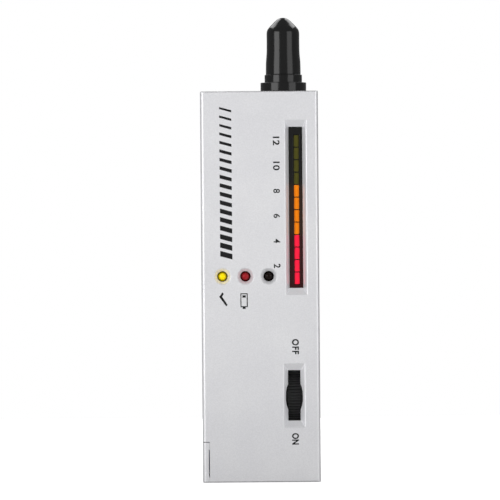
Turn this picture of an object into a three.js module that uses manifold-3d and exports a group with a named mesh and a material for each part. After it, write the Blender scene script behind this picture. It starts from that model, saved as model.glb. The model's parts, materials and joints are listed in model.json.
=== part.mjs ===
// Pocket diamond tester. A two-part moulded case holds a spring probe under a push-on cap, a bar display
// of twelve segments, three lamps, a thumbwheel switch, a nine-volt battery behind a sliding door, and the
// circuit.
// Lengths are millimetres. X points right, Y points back and Z points up the case towards the probe.
// The origin is the middle of the base, and the case stands on its lower edge.
import * as THREE from 'three';
import { mergeVertices } from 'three/addons/utils/BufferGeometryUtils.js';
import Module from 'manifold-3d';

const wasm = await Module();
wasm.setup();

// Gaps and cuts shared by all the pieces
const seatGap = 0.1; // between pieces that seat on each other
const runningGap = 0.3; // between a moving piece and what it passes
const overrun = 1; // how far a cut runs past the face that it opens

// How finely round pieces are divided, in sides or steps
const largeSides = 36;
const roundSides = 20;
const smallSides = 12;
const wireSides = 6;
const cornerSteps = 2; // in each eighth of a turn
const edgeSteps = 3; // across a rounded edge

// Walls of the case
const frontWall = 2.2;
const rearWall = 2;
const sideWall = 1.5;
const endWall = 2;
const edgeRadius = 0.7; // rounding of the front and back edges
const cornerRadius = 0.9; // rounding of the four corners in the front view
const partingDepth = 0.3; // of the fine groove where the two shells meet
const partingWidth = 0.3;
const ribThickness = 1.2;

// Nine-volt battery and its snap connector
const batteryWidth = 25.8;
const batteryDepth = 16.8;
const batteryHeight = 46.4; // without its terminals
const batteryPlay = 0.5; // in front of it and behind it
const batteryCornerRadius = 1.6;
const terminalHeight = 1.8;
const terminalSpacing = 12.7;
const studRadius = 2.7;
const socketWall = 0.6;
const snapThickness = 2.6;
const snapInset = 0.9; // from the battery's sides
const padThickness = 1;
const padInset = 1.4;

// Battery door
const doorHeight = 13.5; // of the corner that wraps the case
const doorStrip = 2.3; // width of that corner on the front face
const doorFoot = 0.3; // how far the door stays above the base
const doorFlange = 0.9; // thickness of the edges that run on the ledges
const ledgeHeight = 1;
const ledgeWidth = 1.2;
const seam = 0.12; // gap round the closed door
const nailGap = 0.25; // slot for a fingernail beside the corner
const nailGapFromBottom = 1.8;
const nailGapFromTop = 2.6;

// Thumbwheel, its shaft, its screw and its switch
const wheelRadius = 8.8;
const wheelWidth = 5;
const wheelHeight = 28.2; // of its axis above the base
const wheelSetback = 1.2; // of its rim behind the front face
const wheelTeeth = 56;
const toothDepth = 0.35;
const wheelChamfer = 0.4;
const batteryToWheel = 0.55;
const wheelToSwitch = 0.45;
const switchToWall = 0.5;
const shaftRadius = 2;
const screwRecessRadius = 3;
const screwRecessDepth = 1.6;
const wheelScrewHeadRadius = 2.4;
const wheelScrewHeadHeight = 1.1;
const wheelScrewRadius = 0.9;
const wheelScrewLength = 4;
const switchThickness = 3.6;
const switchInset = 1.2; // how far the switch body's rim lies inside the wheel's
const switchPins = 3;
const switchPinWidth = 1;
const switchPinLength = 4.2;
const switchPinThickness = 0.4;
const slotWidth = 4.1; // of the opening over the wheel
const slotLength = 16.7;
const slotRise = 0.45; // of the opening's middle above the wheel's axis
const slotBevelSide = 1.45; // width of its sloped edges
const slotBevelEnd = 2.3;

// Bar display and its window
const windowWidth = 4.55;
const windowLength = 53.4;
const windowBevelSide = 1.225;
const windowBevelEnd = 2.3;
const windowFromEdge = 7.55; // its centre line, from the right side of the case
const bevelDepth = 1.8; // of the sloped edges round the window and the wheel
const displayDepth = 5.4;
const displayWidth = 7.6;
const displayLap = 0.5; // how far the housing laps the window's ends
const segmentCount = 12;
const segmentBelow = 1.15; // from the window's lower end to the first segment
const segmentAbove = 2.63; // from the last segment to the window's upper end
const segmentGap = 0.285;
const segmentWidth = 1.7;
const segmentDepth = 1;
const segmentSideGap = 0.2;
const segmentSetback = 0.2;
const segmentOffset = 0.28; // right of the window's centre line

// Lamps
const lampRadius = 1.5;
const lampFlangeRadius = 1.9;
const lampFlange = 1;
const lampLength = 4; // from the dome's tip to the flange
const lampSetback = 1.4; // of the dome's tip behind the front face
const lampGap = 0.2; // round the lamp in its hole
const lampLeadRadius = 0.3;
const lampLeadSpacing = 2.54;
const lampConeRadius = 2.8;
const lampConeDepth = 1.6;
const lampHeight = 10; // above the board's lower edge
const lampPlaceShares = [0.221, 0.463, 0.708]; // of the width from the left side to the window's centre line
const domeSteps = 4;

// Main board
const boardThickness = 1.6;
const boardSideGap = 0.8; // to the side walls
const boardFromTop = 0.4; // its upper edge, below the window's upper end
const leadRoom = 3.7; // between the battery's connector and the board
const windowHeight = 6; // the window's lower end above the board's
const tongueWidth = 2.9; // the strip of board that runs down to the wheel's switch
const tongueEdge = 0.4; // from that strip to the side wall

// Probe: collar, sleeve, plug, tip and spring
const probeFromEdge = 11.3; // its axis, from the right side of the case
const barrelRadius = 3.6; // of the collar inside the case
const barrelLength = 6.1;
const barrelRoom = 2; // from the board's upper edge to the barrel
const innerFlangeRadius = 6;
const innerFlange = 2.1;
const neckRadius = 4.8;
const flangeRadius = 7.6;
const flangeHeight = 3;
const stepRadius = 6.225;
const stepHeight = 2.55;
const spigotRadius = 4.1;
const spigotHeight = 5.95;
const sleeveRadius = 2.1;
const sleeveBoreRadius = 1;
const sleeveReach = 3; // past the spigot
const sleeveNose = 1; // length of its narrowed front end
const sleeveNoseRadius = 1.4;
const plugRadius = 3.2;
const plugRim = 0.7;
const plugStub = 0.6;
const tipRadius = 0.65;
const tipReach = 1.8; // past the sleeve
const tipRound = 0.4;
const tipShoulderRadius = 0.85;
const tipShoulder = 1.1;
const tipLength = 14;
const heaterLength = 3.4;
const springWire = 0.22;
const springTurns = 7;
const springSteps = 8; // a turn

// Cap
const capRadius = 5.8;
const capHeight = 18.95;
const capSeat = 0.15; // gap to the collar's step
const capCrown = 3.35; // from the top of its bore to its point
const capBoreRadius = 3.3;
const capOutlineShares = [ // of its radius and its height
  [1, 0],
  [0.99, 0.2],
  [0.955, 0.34],
  [0.941, 0.428],
  [0.934, 0.6],
  [0.936, 0.7],
  [0.92, 0.745],
  [0.88, 0.78],
  [0.75, 0.834],
  [0.485, 0.927],
  [0.33, 0.968],
  [0.17, 0.992],
];

// Screws
const caseScrewRadius = 1.2;
const caseScrewLength = 13;
const caseScrewHeadRadius = 2.3;
const caseScrewHead = 1.7;
const caseScrewSink = 0.9; // of the head below the back face
const caseBossRadius = 2.6;
const headBossRadius = 3.4;
const headFloor = 2; // plastic under the head
const lowScrewHeight = 9.6;
const lowScrewFromEdge = 5.3;
const boardScrewRadius = 0.8;
const boardScrewLength = 5;
const boardScrewHeadRadius = 1.9;
const boardScrewHead = 1.3;
const boardBossRadius = 2.4;
const boardScrewFromSide = 2.8;
const boardScrewFromTop = 3.7;
const boardScrewFromLamp = 2.4;
const boardScrewFromBottom = 2.6;
const crossWidthShare = 0.22; // of the head's diameter
const crossLengthShare = 0.62;
const crossDepthShare = 0.6; // of the head's height

// Circuit on the back of the board
const partGap = 0.7; // between neighbours on the board
const chipWidth = 6.4;
const chipHeight = 3.3;
const chipStand = 0.5;
const chipSpacing = 1.6;
const pinPitch = 2.54;
const pinWidth = 0.5;
const pinReach = 0.6;
const driverPins = 9; // on each side
const opAmpPins = 4;
const buzzerRadius = 6;
const buzzerHeight = 6.5;
const buzzerHoleRadius = 1.2;
const buzzerHoleDepth = 1.5;
const soundHoleRadius = 0.6;
const soundRingRadius = 2.4;
const soundRingHoles = 6;
const capacitorRadius = 2.5;
const capacitorHeight = 7;
const capacitorGroove = 0.25;
const capacitorFoot = 1.2;
const trimmerSize = 6.6;
const trimmerHeight = 4.4;
const trimmerDialRadius = 2.3;
const trimmerDialDepth = 0.6;
const trimmerSlot = 0.7;
const trimmerSpacing = 3.6;
const transistorRadius = 2.4;
const transistorHeight = 4.6;
const transistorFlat = 1.2; // from its axis to its flat side
const resistorRadius = 1.1;
const resistorLength = 6.2;
const resistorSpan = 9.4;
const resistorPitch = 3.6;
const resistorWire = 0.3;
const resistorCount = 4;

// Touch plate on the back
const touchWidth = 13;
const touchLength = 30;
const touchThickness = 0.6;
const touchSetback = 0.2; // behind the back face
const touchCornerRadius = 2;
const touchHeight = 26; // its centre above the board's lower edge

// Leads
const leadRadius = 0.55;
const leadBend = 4; // how far a lead runs on before it turns
const leadSteps = 14;
const batteryLeadRise = 2.8; // of its end above the board's lower edge
const probeLeadRadius = 0.4;
const probeLeadSpacing = 2;
const probeLeadDrop = 5.2; // of its end below the board's upper edge

// Depths, from the front of the case to its back
const batteryRoom = batteryDepth + 2 * batteryPlay;
const wheelRoom = wheelSetback + 2 * wheelRadius - frontWall + seatGap;
const caseDepth = frontWall + Math.max(batteryRoom, wheelRoom) + rearWall;
const frontY = -caseDepth / 2;
const backY = caseDepth / 2;
const insideFrontY = frontY + frontWall;
const insideBackY = backY - rearWall;
const displayFrontY = insideFrontY + seatGap;
const boardFrontY = displayFrontY + displayDepth + seatGap;
const boardBackY = boardFrontY + boardThickness;
const partsY = boardBackY + seatGap; // where the circuit's parts stand
const wheelY = frontY + wheelSetback + wheelRadius;
const batteryY = (insideFrontY + insideBackY) / 2;
const lampTipY = frontY + lampSetback;
const headSeatY = backY - caseScrewSink - caseScrewHead - seatGap; // under the case screws' heads
const touchFloorY = backY - touchSetback - touchThickness - seatGap;

// Widths: the battery, the wheel and its switch lie side by side
const wheelStack = batteryToWheel + wheelWidth + wheelToSwitch + switchThickness + switchToWall;
const caseWidth = sideWall + seatGap + batteryWidth + wheelStack + sideWall;
const rightX = caseWidth / 2;
const leftX = -caseWidth / 2;
const insideRightX = rightX - sideWall;
const insideLeftX = leftX + sideWall;
const batteryLeftX = insideLeftX + seatGap;
const batteryRightX = batteryLeftX + batteryWidth;
const batteryX = (batteryLeftX + batteryRightX) / 2;
const studX = batteryX - terminalSpacing / 2;
const socketX = batteryX + terminalSpacing / 2;
const socketRadius = studRadius + runningGap + socketWall;
const wheelLeftX = batteryRightX + batteryToWheel;
const wheelX = wheelLeftX + wheelWidth / 2;
const wheelRightX = wheelLeftX + wheelWidth;
const switchLeftX = wheelRightX + wheelToSwitch;
const shaftLeftX = wheelLeftX + screwRecessDepth + seatGap;
const shaftRightX = switchLeftX + switchThickness - ribThickness;
const wheelScrewX = shaftLeftX - seatGap; // under its head
const windowX = rightX - windowFromEdge;
const segmentX = windowX + segmentOffset;
const probeX = rightX - probeFromEdge;
const lampXs = lampPlaceShares.map((share) => leftX + share * (windowX - leftX));
const boardLeftX = insideLeftX + boardSideGap;
const boardRightX = insideRightX - boardSideGap;
const doorStripX = leftX + doorStrip;

// Heights, from the base up
const flangeBottomZ = ledgeHeight + runningGap; // of the door's plate
const plateTopZ = flangeBottomZ + doorFlange;
const padBottomZ = plateTopZ + seatGap;
const batteryBottomZ = padBottomZ + padThickness + seatGap;
const batteryTopZ = batteryBottomZ + batteryHeight;
const snapBottomZ = batteryTopZ + terminalHeight + runningGap;
const snapTopZ = snapBottomZ + snapThickness;
const boardBottomZ = snapTopZ + leadRoom;
const windowBottomZ = boardBottomZ + windowHeight;
const windowTopZ = windowBottomZ + windowLength;
const windowZ = (windowBottomZ + windowTopZ) / 2;
const segmentPitch = (windowLength - segmentBelow - segmentAbove) / segmentCount;
const lampZ = boardBottomZ + lampHeight;
const boardTopZ = windowTopZ - boardFromTop;
const barrelBottomZ = boardTopZ + barrelRoom;
const innerFlangeZ = barrelBottomZ + barrelLength;
const insideTopZ = innerFlangeZ + innerFlange + seatGap;
const caseHeight = insideTopZ + endWall;
const flangeZ = caseHeight + seatGap;
const stepZ = caseHeight + flangeHeight;
const spigotZ = stepZ + stepHeight;
const spigotTopZ = spigotZ + spigotHeight;
const sleeveTopZ = spigotTopZ + sleeveReach;
const sleeveBottomZ = barrelBottomZ + plugRim + plugStub;
const plugTopZ = sleeveBottomZ - seatGap;
const plugBottomZ = barrelBottomZ - seatGap - plugRim;
const tipTopZ = sleeveTopZ + tipReach;
const tipBottomZ = tipTopZ - tipLength;
const heaterTopZ = tipBottomZ - seatGap;
const heaterBottomZ = heaterTopZ - heaterLength;
const wheelClearRadius = wheelRadius + runningGap;
const switchRadius = wheelRadius - switchInset;
const switchPinTopZ = wheelHeight + switchRadius + switchPinLength;

// Where the screws stand, as [x, z]
const caseScrewPlaces = [
  [insideLeftX + boardSideGap + headBossRadius, insideTopZ - seatGap - headBossRadius],
  [batteryRightX + seatGap + headBossRadius, boardBottomZ - seatGap - headBossRadius],
  [rightX - lowScrewFromEdge, lowScrewHeight],
];
const boardScrewPlaces = [
  [boardLeftX + boardScrewFromSide, boardTopZ - boardScrewFromTop],
  [lampXs[lampXs.length - 1] + boardScrewFromLamp, boardBottomZ + boardScrewFromBottom],
];

// Where the circuit's parts stand on the board, from its edges and from the pieces beside them
const chipX = windowX - displayWidth / 2 - chipWidth / 2 - pinReach - seatGap;
const driverZ = windowZ;
const opAmpZ = driverZ - ((driverPins + opAmpPins) * pinPitch) / 2 - chipSpacing;
const buzzerX = boardLeftX + boardScrewFromSide + boardScrewHeadRadius + buzzerRadius;
const buzzerZ = boardTopZ - buzzerRadius - partGap;
const capacitorX = boardLeftX + capacitorRadius + partGap;
const capacitorTopZ = buzzerZ - buzzerRadius - partGap - capacitorRadius;
const capacitorZs = [capacitorTopZ, capacitorTopZ - 2 * capacitorRadius - partGap];
const trimmerX = boardRightX - trimmerSize / 2 - partGap;
const trimmerTopZ = boardTopZ - probeLeadDrop - partGap - trimmerSize / 2;
const trimmerZs = [trimmerTopZ, trimmerTopZ - trimmerSize - trimmerSpacing];
const transistorZ = trimmerZs[1] - trimmerSize / 2 - partGap - transistorRadius;
const resistorX = boardLeftX + resistorSpan / 2 + partGap;
const resistorTopZ = capacitorZs[1] - capacitorRadius - resistorPitch;
const touchZ = boardBottomZ + touchHeight;
const touchLeadX = chipX - chipWidth / 2 - pinReach - runningGap - leadRadius;

// The two ends of a stretch about its middle.
function about(middle, size) {
  return [middle - size / 2, middle + size / 2];
}

// Turns a closed triangle mesh into a solid that can be joined and cut.
function solid(geometry) {
  const bare = geometry.clone();
  bare.deleteAttribute('normal');
  bare.deleteAttribute('uv');
  const welded = mergeVertices(bare);
  const corners = Array.from(welded.index.array);
  const kept = [];
  for (let i = 0; i < corners.length; i += 3) {
    const [a, b, c] = corners.slice(i, i + 3);
    if (a !== b && b !== c && c !== a) kept.push(a, b, c);
  }
  const vertProperties = new Float32Array(welded.attributes.position.array);
  const triVerts = new Uint32Array(kept);
  return new wasm.Manifold(new wasm.Mesh({ numProp: 3, vertProperties, triVerts }));
}

// Joins a list of solids into one.
function joined(solids) {
  return solids.reduce((whole, next) => whole.add(next));
}

// Cuts each solid of a list out of another.
function cut(whole, solids) {
  return solids.reduce((rest, next) => rest.subtract(next), whole);
}

// A box between two places on each axis.
function block([left, right], [front, back], [bottom, top]) {
  const geometry = new THREE.BoxGeometry(right - left, back - front, top - bottom);
  geometry.translate((left + right) / 2, (front + back) / 2, (bottom + top) / 2);
  return solid(geometry);
}

// A shape turned about an axis. The profile is [radius, place along the axis], from low to high.
function turned(axis, profile, [x, y, z], sides) {
  const closed = [[0, profile[0][1]], ...profile, [0, profile[profile.length - 1][1]]];
  const points = closed.map(([radius, along]) => new THREE.Vector2(radius, along));
  const geometry = new THREE.LatheGeometry(points, sides);
  if (axis === 'z') geometry.rotateX(Math.PI / 2);
  if (axis === 'x') geometry.rotateZ(-Math.PI / 2);
  geometry.translate(x, y, z);
  return solid(geometry);
}

// A round bar along an axis, between two places on it.
function rod(axis, radius, [from, to], place, sides) {
  return turned(axis, [[radius, from], [radius, to]], place, sides);
}

// A plate whose outline is drawn in the front view, between two depths.
function plate(outline, [front, back]) {
  const options = { depth: back - front, bevelEnabled: false, curveSegments: cornerSteps };
  const geometry = new THREE.ExtrudeGeometry(outline, options);
  geometry.rotateX(Math.PI / 2);
  geometry.translate(0, back, 0);
  return solid(geometry);
}

// A plate whose outline is drawn as seen from above, between two heights.
function levelPlate(outline, [bottom, top]) {
  const options = { depth: top - bottom, bevelEnabled: false, curveSegments: cornerSteps };
  const geometry = new THREE.ExtrudeGeometry(outline, options);
  geometry.translate(0, 0, bottom);
  return solid(geometry);
}

// A block that narrows from its outer size in front to its inner size behind.
function taperedBlock([x, z], outer, inner, outerY, innerY) {
  const geometry = new THREE.BoxGeometry(1, 1, 1);
  const points = geometry.attributes.position;
  for (let i = 0; i < points.count; i++) {
    const isOuter = points.getY(i) < 0;
    const [width, length] = isOuter ? outer : inner;
    const y = isOuter ? outerY : innerY;
    points.setXYZ(i, x + points.getX(i) * width, y, z + points.getZ(i) * length);
  }
  return solid(geometry);
}

// A rectangle with rounded corners, drawn about a centre.
function roundedRectangle([x, y], width, height, radius) {
  const outline = new THREE.Shape();
  const [left, right] = about(x, width - 2 * radius);
  const [bottom, top] = about(y, height - 2 * radius);
  const quarter = Math.PI / 2;
  outline.absarc(right, bottom, radius, -quarter, 0, false);
  outline.absarc(right, top, radius, 0, quarter, false);
  outline.absarc(left, top, radius, quarter, 2 * quarter, false);
  outline.absarc(left, bottom, radius, 2 * quarter, 3 * quarter, false);
  return outline;
}

// A round tube, solid all through, along a path.
function tube(path, radius, steps) {
  const section = new THREE.Shape();
  section.absarc(0, 0, radius, 0, 2 * Math.PI, false);
  const options = { extrudePath: path, steps, curveSegments: wireSides / 2 };
  return solid(new THREE.ExtrudeGeometry(section, options));
}

// A lead that leaves one point straight and runs straight into another.
function lead(start, startDirection, end, endDirection, radius) {
  const from = new THREE.Vector3(...start);
  const to = new THREE.Vector3(...end);
  const leaving = from.clone().addScaledVector(new THREE.Vector3(...startDirection), leadBend);
  const arriving = to.clone().addScaledVector(new THREE.Vector3(...endDirection), leadBend);
  return tube(new THREE.CubicBezierCurve3(from, leaving, arriving, to), radius, leadSteps);
}

// The outside of the whole case: a block with rounded edges and corners.
function caseBlock() {
  const width = caseWidth - 2 * edgeRadius;
  const height = caseHeight - 2 * edgeRadius;
  const outline = roundedRectangle([0, caseHeight / 2], width, height, cornerRadius - edgeRadius);
  const geometry = new THREE.ExtrudeGeometry(outline, {
    depth: caseDepth - 2 * edgeRadius,
    bevelSize: edgeRadius,
    bevelThickness: edgeRadius,
    bevelSegments: edgeSteps,
    curveSegments: cornerSteps,
  });
  geometry.rotateX(Math.PI / 2);
  geometry.translate(0, backY - edgeRadius, 0);
  return solid(geometry);
}

// One half of the case as walls only, between two depths, less the door and half the parting groove.
function shellWalls(span) {
  const width = [leftX - overrun, rightX + overrun];
  const height = [-overrun, caseHeight + overrun];
  const half = block(width, span, height);
  const room = block([insideLeftX, insideRightX], [insideFrontY, insideBackY], [endWall, insideTopZ]);
  const grooveWidth = [leftX + partingDepth, rightX - partingDepth];
  const grooveHeight = [partingDepth, caseHeight - partingDepth];
  const grooveDepth = about(0, partingWidth);
  const groove = block(width, grooveDepth, height).subtract(block(grooveWidth, grooveDepth, grooveHeight));
  return cut(caseBlock().intersect(half), [room, doorRoom(), groove]);
}

// What the battery door takes out of both shells: its corner, and the opening under the battery.
function doorRoom() {
  const farX = leftX - overrun;
  const allDepth = [frontY - overrun, backY + overrun];
  const corner = block([farX, doorStripX + seam], allDepth, [-overrun, doorHeight]);
  const openingX = [farX, batteryRightX + runningGap];
  const opening = block(openingX, [insideFrontY, insideBackY], [-overrun, endWall + seam]);
  return corner.add(opening);
}

// The ledge that the door's plate runs on, along one wall.
function doorLedge(wallY, inwards) {
  const middleY = wallY + (inwards * ledgeWidth) / 2;
  const bridge = [doorStripX + seam, batteryRightX + 2 * runningGap];
  return block(bridge, about(middleY, ledgeWidth), [0, ledgeHeight]);
}

// Ribs beside the battery, below and above the wheel.
function batteryRibs(span) {
  const x = [batteryRightX + runningGap, batteryRightX + runningGap + ribThickness];
  const wheelReach = wheelClearRadius + runningGap;
  const low = block(x, span, [endWall - seatGap, wheelHeight - wheelReach]);
  const high = block(x, span, [wheelHeight + wheelReach, batteryTopZ]);
  return [low, high];
}

// The hole in the top wall that holds the collar's neck.
function collarHole() {
  const span = [insideTopZ - overrun, caseHeight + overrun];
  return rod('z', neckRadius + seatGap, span, [probeX, 0, 0], largeSides);
}

// An opening in the front wall whose edges slope in from the face.
function slopedOpening(centre, [width, length], side, end) {
  const inner = [width, length];
  const outer = [width + 2 * side, length + 2 * end];
  const slope = taperedBlock(centre, outer, inner, frontY, frontY + bevelDepth);
  const through = taperedBlock(centre, inner, inner, frontY - overrun, insideFrontY + overrun);
  const above = taperedBlock(centre, outer, outer, frontY - overrun, frontY);
  return joined([slope, through, above]);
}

// The pocket over the thumbwheel, with room for the wheel's rim in the wall.
function wheelPocket() {
  const centre = [wheelX, wheelHeight + slotRise];
  const pocket = slopedOpening(centre, [slotWidth, slotLength], slotBevelSide, slotBevelEnd);
  const rimSpan = [wheelLeftX - runningGap, wheelRightX + runningGap];
  const rim = rod('x', wheelClearRadius, rimSpan, [0, wheelY, wheelHeight], largeSides);
  return pocket.add(rim);
}

// A lamp's hole, countersunk from the front.
function lampHole(x) {
  const profile = [
    [lampConeRadius, frontY - overrun],
    [lampConeRadius, frontY],
    [lampRadius + lampGap, frontY + lampConeDepth],
    [lampRadius + lampGap, insideFrontY + overrun],
  ];
  return turned('y', profile, [x, 0, lampZ], roundSides);
}

// A locating lip on the front shell's side walls, which slips inside the rear shell.
function shellLips() {
  const height = [boardBottomZ, insideTopZ - headBossRadius];
  const foot = [boardBackY + seatGap, 0];
  const head = [0, ribThickness];
  const thickness = boardSideGap - seatGap;
  return [
    block([insideLeftX - seatGap, insideLeftX + thickness], foot, height),
    block([insideLeftX + seatGap, insideLeftX + thickness], head, height),
    block([insideRightX - thickness, insideRightX + seatGap], foot, height),
    block([insideRightX - thickness, insideRightX - seatGap], head, height),
  ];
}

// A round post or hole along Y at a screw's place.
function post([x, z], radius, span) {
  return rod('y', radius, span, [x, 0, z], smallSides);
}

function frontShell() {
  const foot = insideFrontY - seatGap;
  const whole = joined([
    shellWalls([frontY - overrun, 0]),
    doorLedge(insideFrontY, 1),
    ...batteryRibs([foot, -seatGap]),
    ...caseScrewPlaces.map((place) => post(place, caseBossRadius, [foot, -seatGap])),
    ...boardScrewPlaces.map((place) => post(place, boardBossRadius, [foot, boardFrontY - seatGap])),
    ...shellLips(),
  ]);
  const caseScrewSpan = [insideFrontY + seatGap, overrun];
  const boardScrewSpan = [insideFrontY + seatGap, boardFrontY + overrun];
  const windowSize = [windowWidth, windowLength];
  return cut(whole, [
    collarHole(),
    slopedOpening([windowX, windowZ], windowSize, windowBevelSide, windowBevelEnd),
    wheelPocket(),
    ...lampXs.map(lampHole),
    ...caseScrewPlaces.map((place) => post(place, caseScrewRadius + seatGap, caseScrewSpan)),
    ...boardScrewPlaces.map((place) => post(place, boardScrewRadius + seatGap, boardScrewSpan)),
  ]);
}

function rearShell() {
  const foot = insideBackY + seatGap;
  const whole = joined([
    shellWalls([0, backY + overrun]),
    doorLedge(insideBackY, -1),
    ...batteryRibs([seatGap, foot]),
    ...caseScrewPlaces.map((place) => post(place, caseBossRadius, [seatGap, foot])),
    ...caseScrewPlaces.map((place) => post(place, headBossRadius, [headSeatY - headFloor, foot])),
  ]);
  const outside = backY + overrun;
  return cut(whole, [
    collarHole(),
    touchRecess(),
    ...soundHoles(),
    ...caseScrewPlaces.map((place) => post(place, caseScrewRadius + seatGap, [-overrun, outside])),
    ...caseScrewPlaces.map((place) => post(place, caseScrewHeadRadius + seatGap, [headSeatY, outside])),
  ]);
}

// The recess for the touch plate, with the hole for its lead.
function touchRecess() {
  const width = touchWidth + 2 * seatGap;
  const length = touchLength + 2 * seatGap;
  const outline = roundedRectangle([0, touchZ], width, length, touchCornerRadius + seatGap);
  const recess = plate(outline, [touchFloorY, backY + overrun]);
  return recess.add(post([touchLeadX, touchZ], leadRadius + runningGap, [insideBackY - overrun, backY]));
}

// Small holes over the buzzer: one in the middle and a ring of them round it.
function soundHoles() {
  const span = [insideBackY - overrun, backY + overrun];
  const holes = [post([buzzerX, buzzerZ], soundHoleRadius, span)];
  for (let i = 0; i < soundRingHoles; i++) {
    const turn = (2 * Math.PI * i) / soundRingHoles;
    const x = buzzerX + soundRingRadius * Math.cos(turn);
    const z = buzzerZ + soundRingRadius * Math.sin(turn);
    holes.push(post([x, z], soundHoleRadius, span));
  }
  return holes;
}

// The battery door: the corner of the case, and the plate under the battery that carries it.
function batteryDoor() {
  const cornerZ = [doorFoot, doorHeight - seam];
  const corner = caseBlock().intersect(block([leftX, doorStripX], [frontY, backY], cornerZ));
  const plateX = [doorStripX - overrun, batteryRightX];
  const plateInset = ledgeWidth + runningGap;
  const middleY = [insideFrontY + plateInset, insideBackY - plateInset];
  const flangeY = [insideFrontY + seam, insideBackY - seam];
  const middle = block(plateX, middleY, [doorFoot, plateTopZ]);
  const flanges = block(plateX, flangeY, [flangeBottomZ, plateTopZ]);
  const hollowX = [insideLeftX, doorStripX + overrun];
  const hollow = block(hollowX, [insideFrontY, insideBackY], [plateTopZ, doorHeight]);
  const nailX = [doorStripX - nailGap, doorStripX + overrun];
  const nailZ = [nailGapFromBottom, doorHeight - nailGapFromTop];
  const nailSlot = block(nailX, [frontY - overrun, insideFrontY], nailZ);
  return cut(joined([corner, middle, flanges]), [hollow, nailSlot]);
}

// The collar: a barrel and a flange inside the case, then a flange, a step and the cap's spigot outside.
function probeCollar() {
  const profile = [
    [barrelRadius, barrelBottomZ],
    [barrelRadius, innerFlangeZ],
    [innerFlangeRadius, innerFlangeZ],
    [innerFlangeRadius, innerFlangeZ + innerFlange],
    [neckRadius, innerFlangeZ + innerFlange],
    [neckRadius, flangeZ],
    [flangeRadius, flangeZ],
    [flangeRadius, stepZ],
    [stepRadius, stepZ],
    [stepRadius, spigotZ],
    [spigotRadius, spigotZ],
    [spigotRadius, spigotTopZ],
  ];
  const boreZ = [barrelBottomZ - overrun, spigotTopZ + overrun];
  const bore = rod('z', sleeveRadius + seatGap, boreZ, [0, 0, 0], roundSides);
  return turned('z', profile, [0, 0, 0], largeSides).subtract(bore);
}

// The cap, hollow over the collar's spigot and the probe.
function probeCap() {
  const socketDepth = spigotHeight + runningGap;
  const outside = capOutlineShares.map(([radiusShare, heightShare]) => {
    return [radiusShare * capRadius, heightShare * capHeight];
  });
  outside.push([0, capHeight]);
  const inside = [
    [spigotRadius + seatGap, -overrun],
    [spigotRadius + seatGap, socketDepth],
    [capBoreRadius, socketDepth],
    [capBoreRadius, capHeight - capCrown],
  ];
  return turned('z', outside, [0, 0, 0], largeSides).subtract(turned('z', inside, [0, 0, 0], roundSides));
}

// The tube that guides the probe's tip.
function probeSleeve() {
  const profile = [
    [sleeveRadius, sleeveBottomZ],
    [sleeveRadius, sleeveTopZ - sleeveNose],
    [sleeveNoseRadius, sleeveTopZ],
  ];
  const boreZ = [sleeveBottomZ - overrun, sleeveTopZ - sleeveNose];
  const bore = rod('z', sleeveBoreRadius, boreZ, [0, 0, 0], smallSides);
  const mouth = rod('z', tipRadius + seatGap, [sleeveBottomZ, sleeveTopZ + overrun], [0, 0, 0], smallSides);
  return cut(turned('z', profile, [0, 0, 0], roundSides), [bore, mouth]);
}

// The plug that closes the barrel and carries the spring.
function probeEndPlug() {
  const profile = [
    [plugRadius, plugBottomZ],
    [plugRadius, plugBottomZ + plugRim],
    [sleeveRadius, plugBottomZ + plugRim],
    [sleeveRadius, plugTopZ],
  ];
  return turned('z', profile, [0, 0, 0], roundSides);
}

// The probe's tip: a thin rod with a shoulder at its lower end and a rounded point.
function probeTip() {
  const profile = [
    [tipShoulderRadius, tipBottomZ],
    [tipShoulderRadius, tipBottomZ + tipShoulder],
    [tipRadius, tipBottomZ + tipShoulder],
    [tipRadius, tipTopZ - tipRound],
    [tipRadius - tipRound / 2, tipTopZ - tipRound / 4],
    [tipRadius - tipRound, tipTopZ],
  ];
  return turned('z', profile, [0, 0, 0], smallSides);
}

// The heater behind the tip, which moves with it.
function probeHeater() {
  return rod('z', tipShoulderRadius, [heaterBottomZ, heaterTopZ], [0, 0, 0], smallSides);
}

// The path of a coil spring's wire, from its lower end to its upper one.
class CoilPath extends THREE.Curve {
  constructor(radius, bottom, top, turns) {
    super();
    Object.assign(this, { radius, bottom, top, turns });
  }

  getPoint(share, target = new THREE.Vector3()) {
    const turn = 2 * Math.PI * this.turns * share;
    const height = this.bottom + (this.top - this.bottom) * share;
    return target.set(this.radius * Math.cos(turn), this.radius * Math.sin(turn), height);
  }
}

// The spring that pushes the tip out.
function probeSpring() {
  const radius = sleeveBoreRadius - springWire;
  const path = new CoilPath(radius, plugTopZ + springWire, heaterBottomZ - springWire, springTurns);
  return tube(path, springWire / 2, springTurns * springSteps);
}

// The thumbwheel about its own centre: a knurled rim, a hole for the shaft and a recess for the screw.
function thumbwheel() {
  const outline = new THREE.Shape();
  const rimRadius = wheelRadius - wheelChamfer;
  for (let i = 0; i < 2 * wheelTeeth; i++) {
    const turn = (Math.PI * i) / wheelTeeth;
    const radius = i % 2 === 0 ? rimRadius : rimRadius - toothDepth;
    outline.lineTo(radius * Math.cos(turn), radius * Math.sin(turn));
  }
  const geometry = new THREE.ExtrudeGeometry(outline, {
    depth: wheelWidth - 2 * wheelChamfer,
    bevelSize: wheelChamfer,
    bevelThickness: wheelChamfer,
    bevelSegments: 1,
  });
  geometry.translate(0, 0, wheelChamfer - wheelWidth / 2);
  geometry.rotateY(Math.PI / 2);
  const leftFace = -wheelWidth / 2;
  const bore = rod('x', shaftRadius + seatGap, [leftFace, wheelWidth], [0, 0, 0], roundSides);
  const recessX = [leftFace - overrun, leftFace + screwRecessDepth];
  const recess = rod('x', screwRecessRadius, recessX, [0, 0, 0], roundSides);
  return cut(solid(geometry), [bore, recess]);
}

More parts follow.
